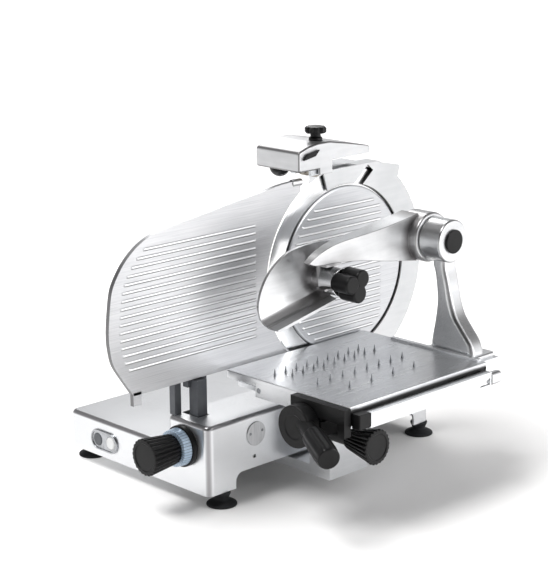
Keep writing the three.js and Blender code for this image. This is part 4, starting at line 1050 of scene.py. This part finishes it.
def pivotCap():
    p = pivotShape
    face = p["front"] + gap
    cap = rod("x", face, face + p["thick"], p["y"], p["z"], p["cap"], 80, p["capSoft"], steps=4)
    newPiece("pivotButton", [cap], "table", blackKnob, "pivot_cap")


def rootShade(s):
    # painted shade where the arm runs into its hub and round the clamp's boss
    _, y, z = s.split(s.place())

    def band(shape, low, high, strength):
        middle = at(0, shape["y"], shape["z"])
        across, level = y - middle.y, z - middle.z
        radius = (across * across + level * level).root() * 1000.0
        return s.spanned(radius, low - 1, low + 1) * s.spanned(radius, low + 2, high, strength, 0.0)

    hub, boss = band(pivotShape, pressShape["hub"], 62, 0.8), band(headShape, headShape["boss"], 66, 0.6)
    return hub.math("MAXIMUM", hub, boss)


pressSilver = castMetal("press casting", (0.74, 0.745, 0.755), (0.60, 0.605, 0.615), 0.30, 0.3, 0.68,
                        (0.16, 0.15, 0.15), rootShade)


def pressArm():
    p, a, h = pivotShape, pressShape, headShape
    outline = curveThrough(armOutline[:6], 5)[:-1] + curveThrough(armOutline[5:], 5)
    taper = [(a["front"] + beyond, -beyond), (a["front"] + beyond, beyond), (a["back"], beyond), (a["back"], a["lean"]),
             (a["tipBack"], armOutline[5][0]), (a["tipBack"], -beyond)]
    body = carved("armSlab", [prism("x", outline, a["back"], a["front"])], keeps=[prism("z", taper, 0, 2 * beyond)])
    body = rounded("armPlain", [body], a["edge"], 6, 50)
    bore = p["pin"] + gap
    hub = rod("x", a["hubBack"], a["hubFront"], p["y"], p["z"], a["hub"], 96, a["hubSoft"], bore, 5)
    y, z = h["y"], h["z"]
    lug = arc(y, z, a["lug"], -tau / 2, 0, 24) + [(y + a["lug"], a["lugTop"]), (y - a["lug"], a["lugTop"])]
    solid = carved("arm", [body], [rod("x", -beyond, beyond, p["y"], p["z"], bore),
                                   rod("x", 0, beyond, y, z, h["bore"] + gap)],
                   joins=[hub, prism("x", lug, a["back"], a["lugThin"]),
                          block(a["back"], a["lugFront"], y - a["lug"], y + a["lug"], a["lugStep"], a["lugTop"])])
    newPiece("armCast", [solid], "arm", pressSilver, "press_arm", 0.8, 3, 50)


def pressHead():
    # a thin curved wall with a turned lip, cut to the head's outline, and the boss for its shaft
    h = headShape
    outer = headSection[:1] + filleted(headSection[:3], h["lip"], 4)[1:-1] + curveThrough(headSection[2:], 5)
    inner = [(x - h["thick"], z) for x, z in outer]
    inner = [(x, z - (h["thick"] if i < 2 else 0)) for i, (x, z) in enumerate(inner)]
    inner[0] = (outer[0][0], outer[0][1] - h["thick"])
    points, faces = prism("y", outer + inner[::-1], h["near"], h["far"])
    wall = ([(x, y, z + h["rise"] * (y - h["pivot"])) for x, y, z in points], faces)
    side = prism("x", curveThrough(headOutline, 5, True), 0, beyond)
    boss = rod("x", headSection[4][0] - h["thick"] + 0.2, h["bossFront"], h["y"], h["z"], h["boss"], 72, 1.5)
    bore = rod("x", headKnobShape["rodBack"], beyond, h["y"], h["z"], h["bore"] + gap)
    solid = carved("head", [wall], [bore], [side])
    bossRing = carved("boss", [boss], [bore])
    newPiece("headCast", [solid, bossRing], "press", pressSilver, "press_head", 0.8, 3, 50)


def headShaft():
    h, k = headShape, headKnobShape
    near, far = k["rodBack"] + gap, k["back"] - gap
    shaft = filleted([(pole, near), (h["bore"], near), (h["bore"], k["collar"]), (k["neck"], k["collar"]),
                      (k["neck"], far), (pole, far)], 0.8, 3)
    newPiece("headShaft", [turned("x", h["y"], h["z"], shaft, 72)], "press", rodChrome, "head_rod")


def headKnob():
    # three lobes round a core that stands a little lower
    h, k = headShape, headKnobShape
    knob = [rod("x", k["back"], k["front"] - 1, h["y"], h["z"], k["core"], 64, k["coreSoft"], steps=4)]
    for i in range(k["lobes"]):
        t = k["turn"] + tau * i / k["lobes"]
        knob.append(rod("x", k["back"], k["front"], h["y"] + k["offset"] * math.cos(t),
                        h["z"] + k["offset"] * math.sin(t), k["lobe"], 64, k["lobeSoft"], steps=5))
    newPiece("headGrip", knob, "press_clamp", blackKnob, "head_knob")


swanColumn()
pivotCap()
pressArm()
pressHead()
headShaft()
headKnob()
dress("pivot_pin", rodChrome, 0.4)
print("stage: column, arm and press")

# floor, light and camera

# shade to lift: how the paper glows from near to far (m) round the middle (mm)
roomShape = dict(floor=60, grey=(0.81, 0.803, 0.797), glow=1.0, middle=(70, 40, 0), lift=0.38, shade=0.02, near=0.25,
                 far=0.46)
roomTones = dict(haze=0.5, low=0.62, high=0.16, start=0.2, end=0.62, right=0.62, room=0.42)
sunPlan = dict(way=(-0.40, -0.72, 1.75), strength=2.5, spread=27)
lightPlans = (
    # place (machine mm), aim, width and height (m), watts
    ((1500, 500, 900), (0, -50, 250), 0.9, 1.5, 11),
    ((-1050, 600, 1400), (0, -20, 520), 0.7, 0.7, 9),
)
# distances in mm; focal and photoWidth in the photograph's pixels
cameraPlan = dict(azimuth=46.0, elevation=14.6, roll=-0.5, distance=2942.8, focal=1675.3, across=-116, up=275.5,
                  photoWidth=548, sensor=36, clip=200)


def plainFloor():
    r = roomShape
    mesh = bpy.data.meshes.new("floor")
    half = r["floor"] / 2
    mesh.from_pydata([(-half, -half, 0), (half, -half, 0), (half, half, 0), (-half, half, 0)], [], [(0, 1, 2, 3)])
    floor = laidOut("floor", mesh)
    s = Shader("floor paper", 0.0, 0.75, Emission_Strength=1.0)
    tone = s.spanned(s.noise(s.place(), 2.5, 3), 0.3, 0.7)
    s.colour(s.between(tone, r["grey"], tuple(v + 0.015 for v in r["grey"])))
    # the paper glows faintly where the machine doesn't stand, as if lit from outside the set
    x, y, _ = s.split(s.place())
    middle = at(*r["middle"])
    across, along = x - middle.x, (y - middle.y) * 0.8
    lift = s.spanned((across * across + along * along).root(), r["near"], r["far"], r["shade"], r["lift"])
    s.feed(s.surface.inputs["Emission Color"], s.node("CombineXYZ", {}, {0: lift, 1: lift, 2: lift}))
    floor.data.materials.append(s.material)


def lights():
    world = bpy.data.worlds.new("studio")
    bpy.context.scene.world = world
    world.use_nodes = True
    r = roomTones
    sky = Nodes(world.node_tree)
    x, y, z = sky.split(sky.node("TexCoord", output="Generated"))
    across, towards = (x + y) * 0.707, (x - y) * 0.707
    level = sky.spanned(z, r["start"], r["end"], r["low"], r["high"]) + sky.spanned(z, 0.01, 0.12, r["haze"], 0.0)
    side = sky.spanned(across, 0.05, 0.85) * sky.spanned(z, 0.25, 0.8, 1.0, 0.25) * r["right"]
    behind = sky.spanned(towards, 0.25, 0.9) * sky.spanned(z, 0.8, 0.95, 1.0, 0.0) * r["room"]
    glow = level + side - behind
    glow = glow.math("MAXIMUM", glow, 0.02)
    back = world.node_tree.nodes["Background"]
    sky.feed(back.inputs["Color"], sky.node("CombineXYZ", {}, {0: glow, 1: glow, 2: glow * 1.01}))
    back.inputs["Strength"].default_value = roomShape["glow"]
    sun = bpy.data.lights.new("sun", "SUN")
    sun.energy, sun.angle = sunPlan["strength"], math.radians(sunPlan["spread"])
    laidOut("sun", sun).rotation_euler = Vector(sunPlan["way"]).to_track_quat("Z", "Y").to_euler()
    for i, (place, aim, wide, tall, watts) in enumerate(lightPlans):
        lamp = bpy.data.lights.new("softbox%d" % i, "AREA")
        lamp.shape, lamp.size, lamp.size_y, lamp.energy = "RECTANGLE", wide, tall, watts
        holder = laidOut("softbox%d" % i, lamp)
        holder.location = at(*place)
        holder.rotation_euler = (at(*aim) - at(*place)).to_track_quat("-Z", "Y").to_euler()


def camera():
    c = cameraPlan
    azimuth, elevation, roll = (math.radians(c[k]) for k in ("azimuth", "elevation", "roll"))
    back = Vector((math.sin(azimuth) * math.cos(elevation), -math.cos(azimuth) * math.cos(elevation),
                   math.sin(elevation)))
    right = Vector((math.cos(azimuth), math.sin(azimuth), 0))
    up = back.cross(right)
    target = right * c["across"] + up * c["up"]
    eye = target + back * c["distance"]
    tilted = right * math.cos(roll) + up * math.sin(roll)
    risen = up * math.cos(roll) - right * math.sin(roll)
    lens = bpy.data.cameras.new("camera")
    lens.sensor_fit, lens.sensor_width = "HORIZONTAL", c["sensor"]
    lens.lens = c["sensor"] * c["focal"] / c["photoWidth"]
    lens.clip_end = c["clip"]
    holder = laidOut("camera", lens)
    holder.matrix_world = Matrix.Translation(at(*eye)) @ Matrix((tilted, risen, back)).transposed().to_4x4()
    bpy.context.scene.camera = holder


plainFloor()
lights()
camera()
bpy.context.scene.view_settings.view_transform = "Standard"
print("stage: floor, light and camera")
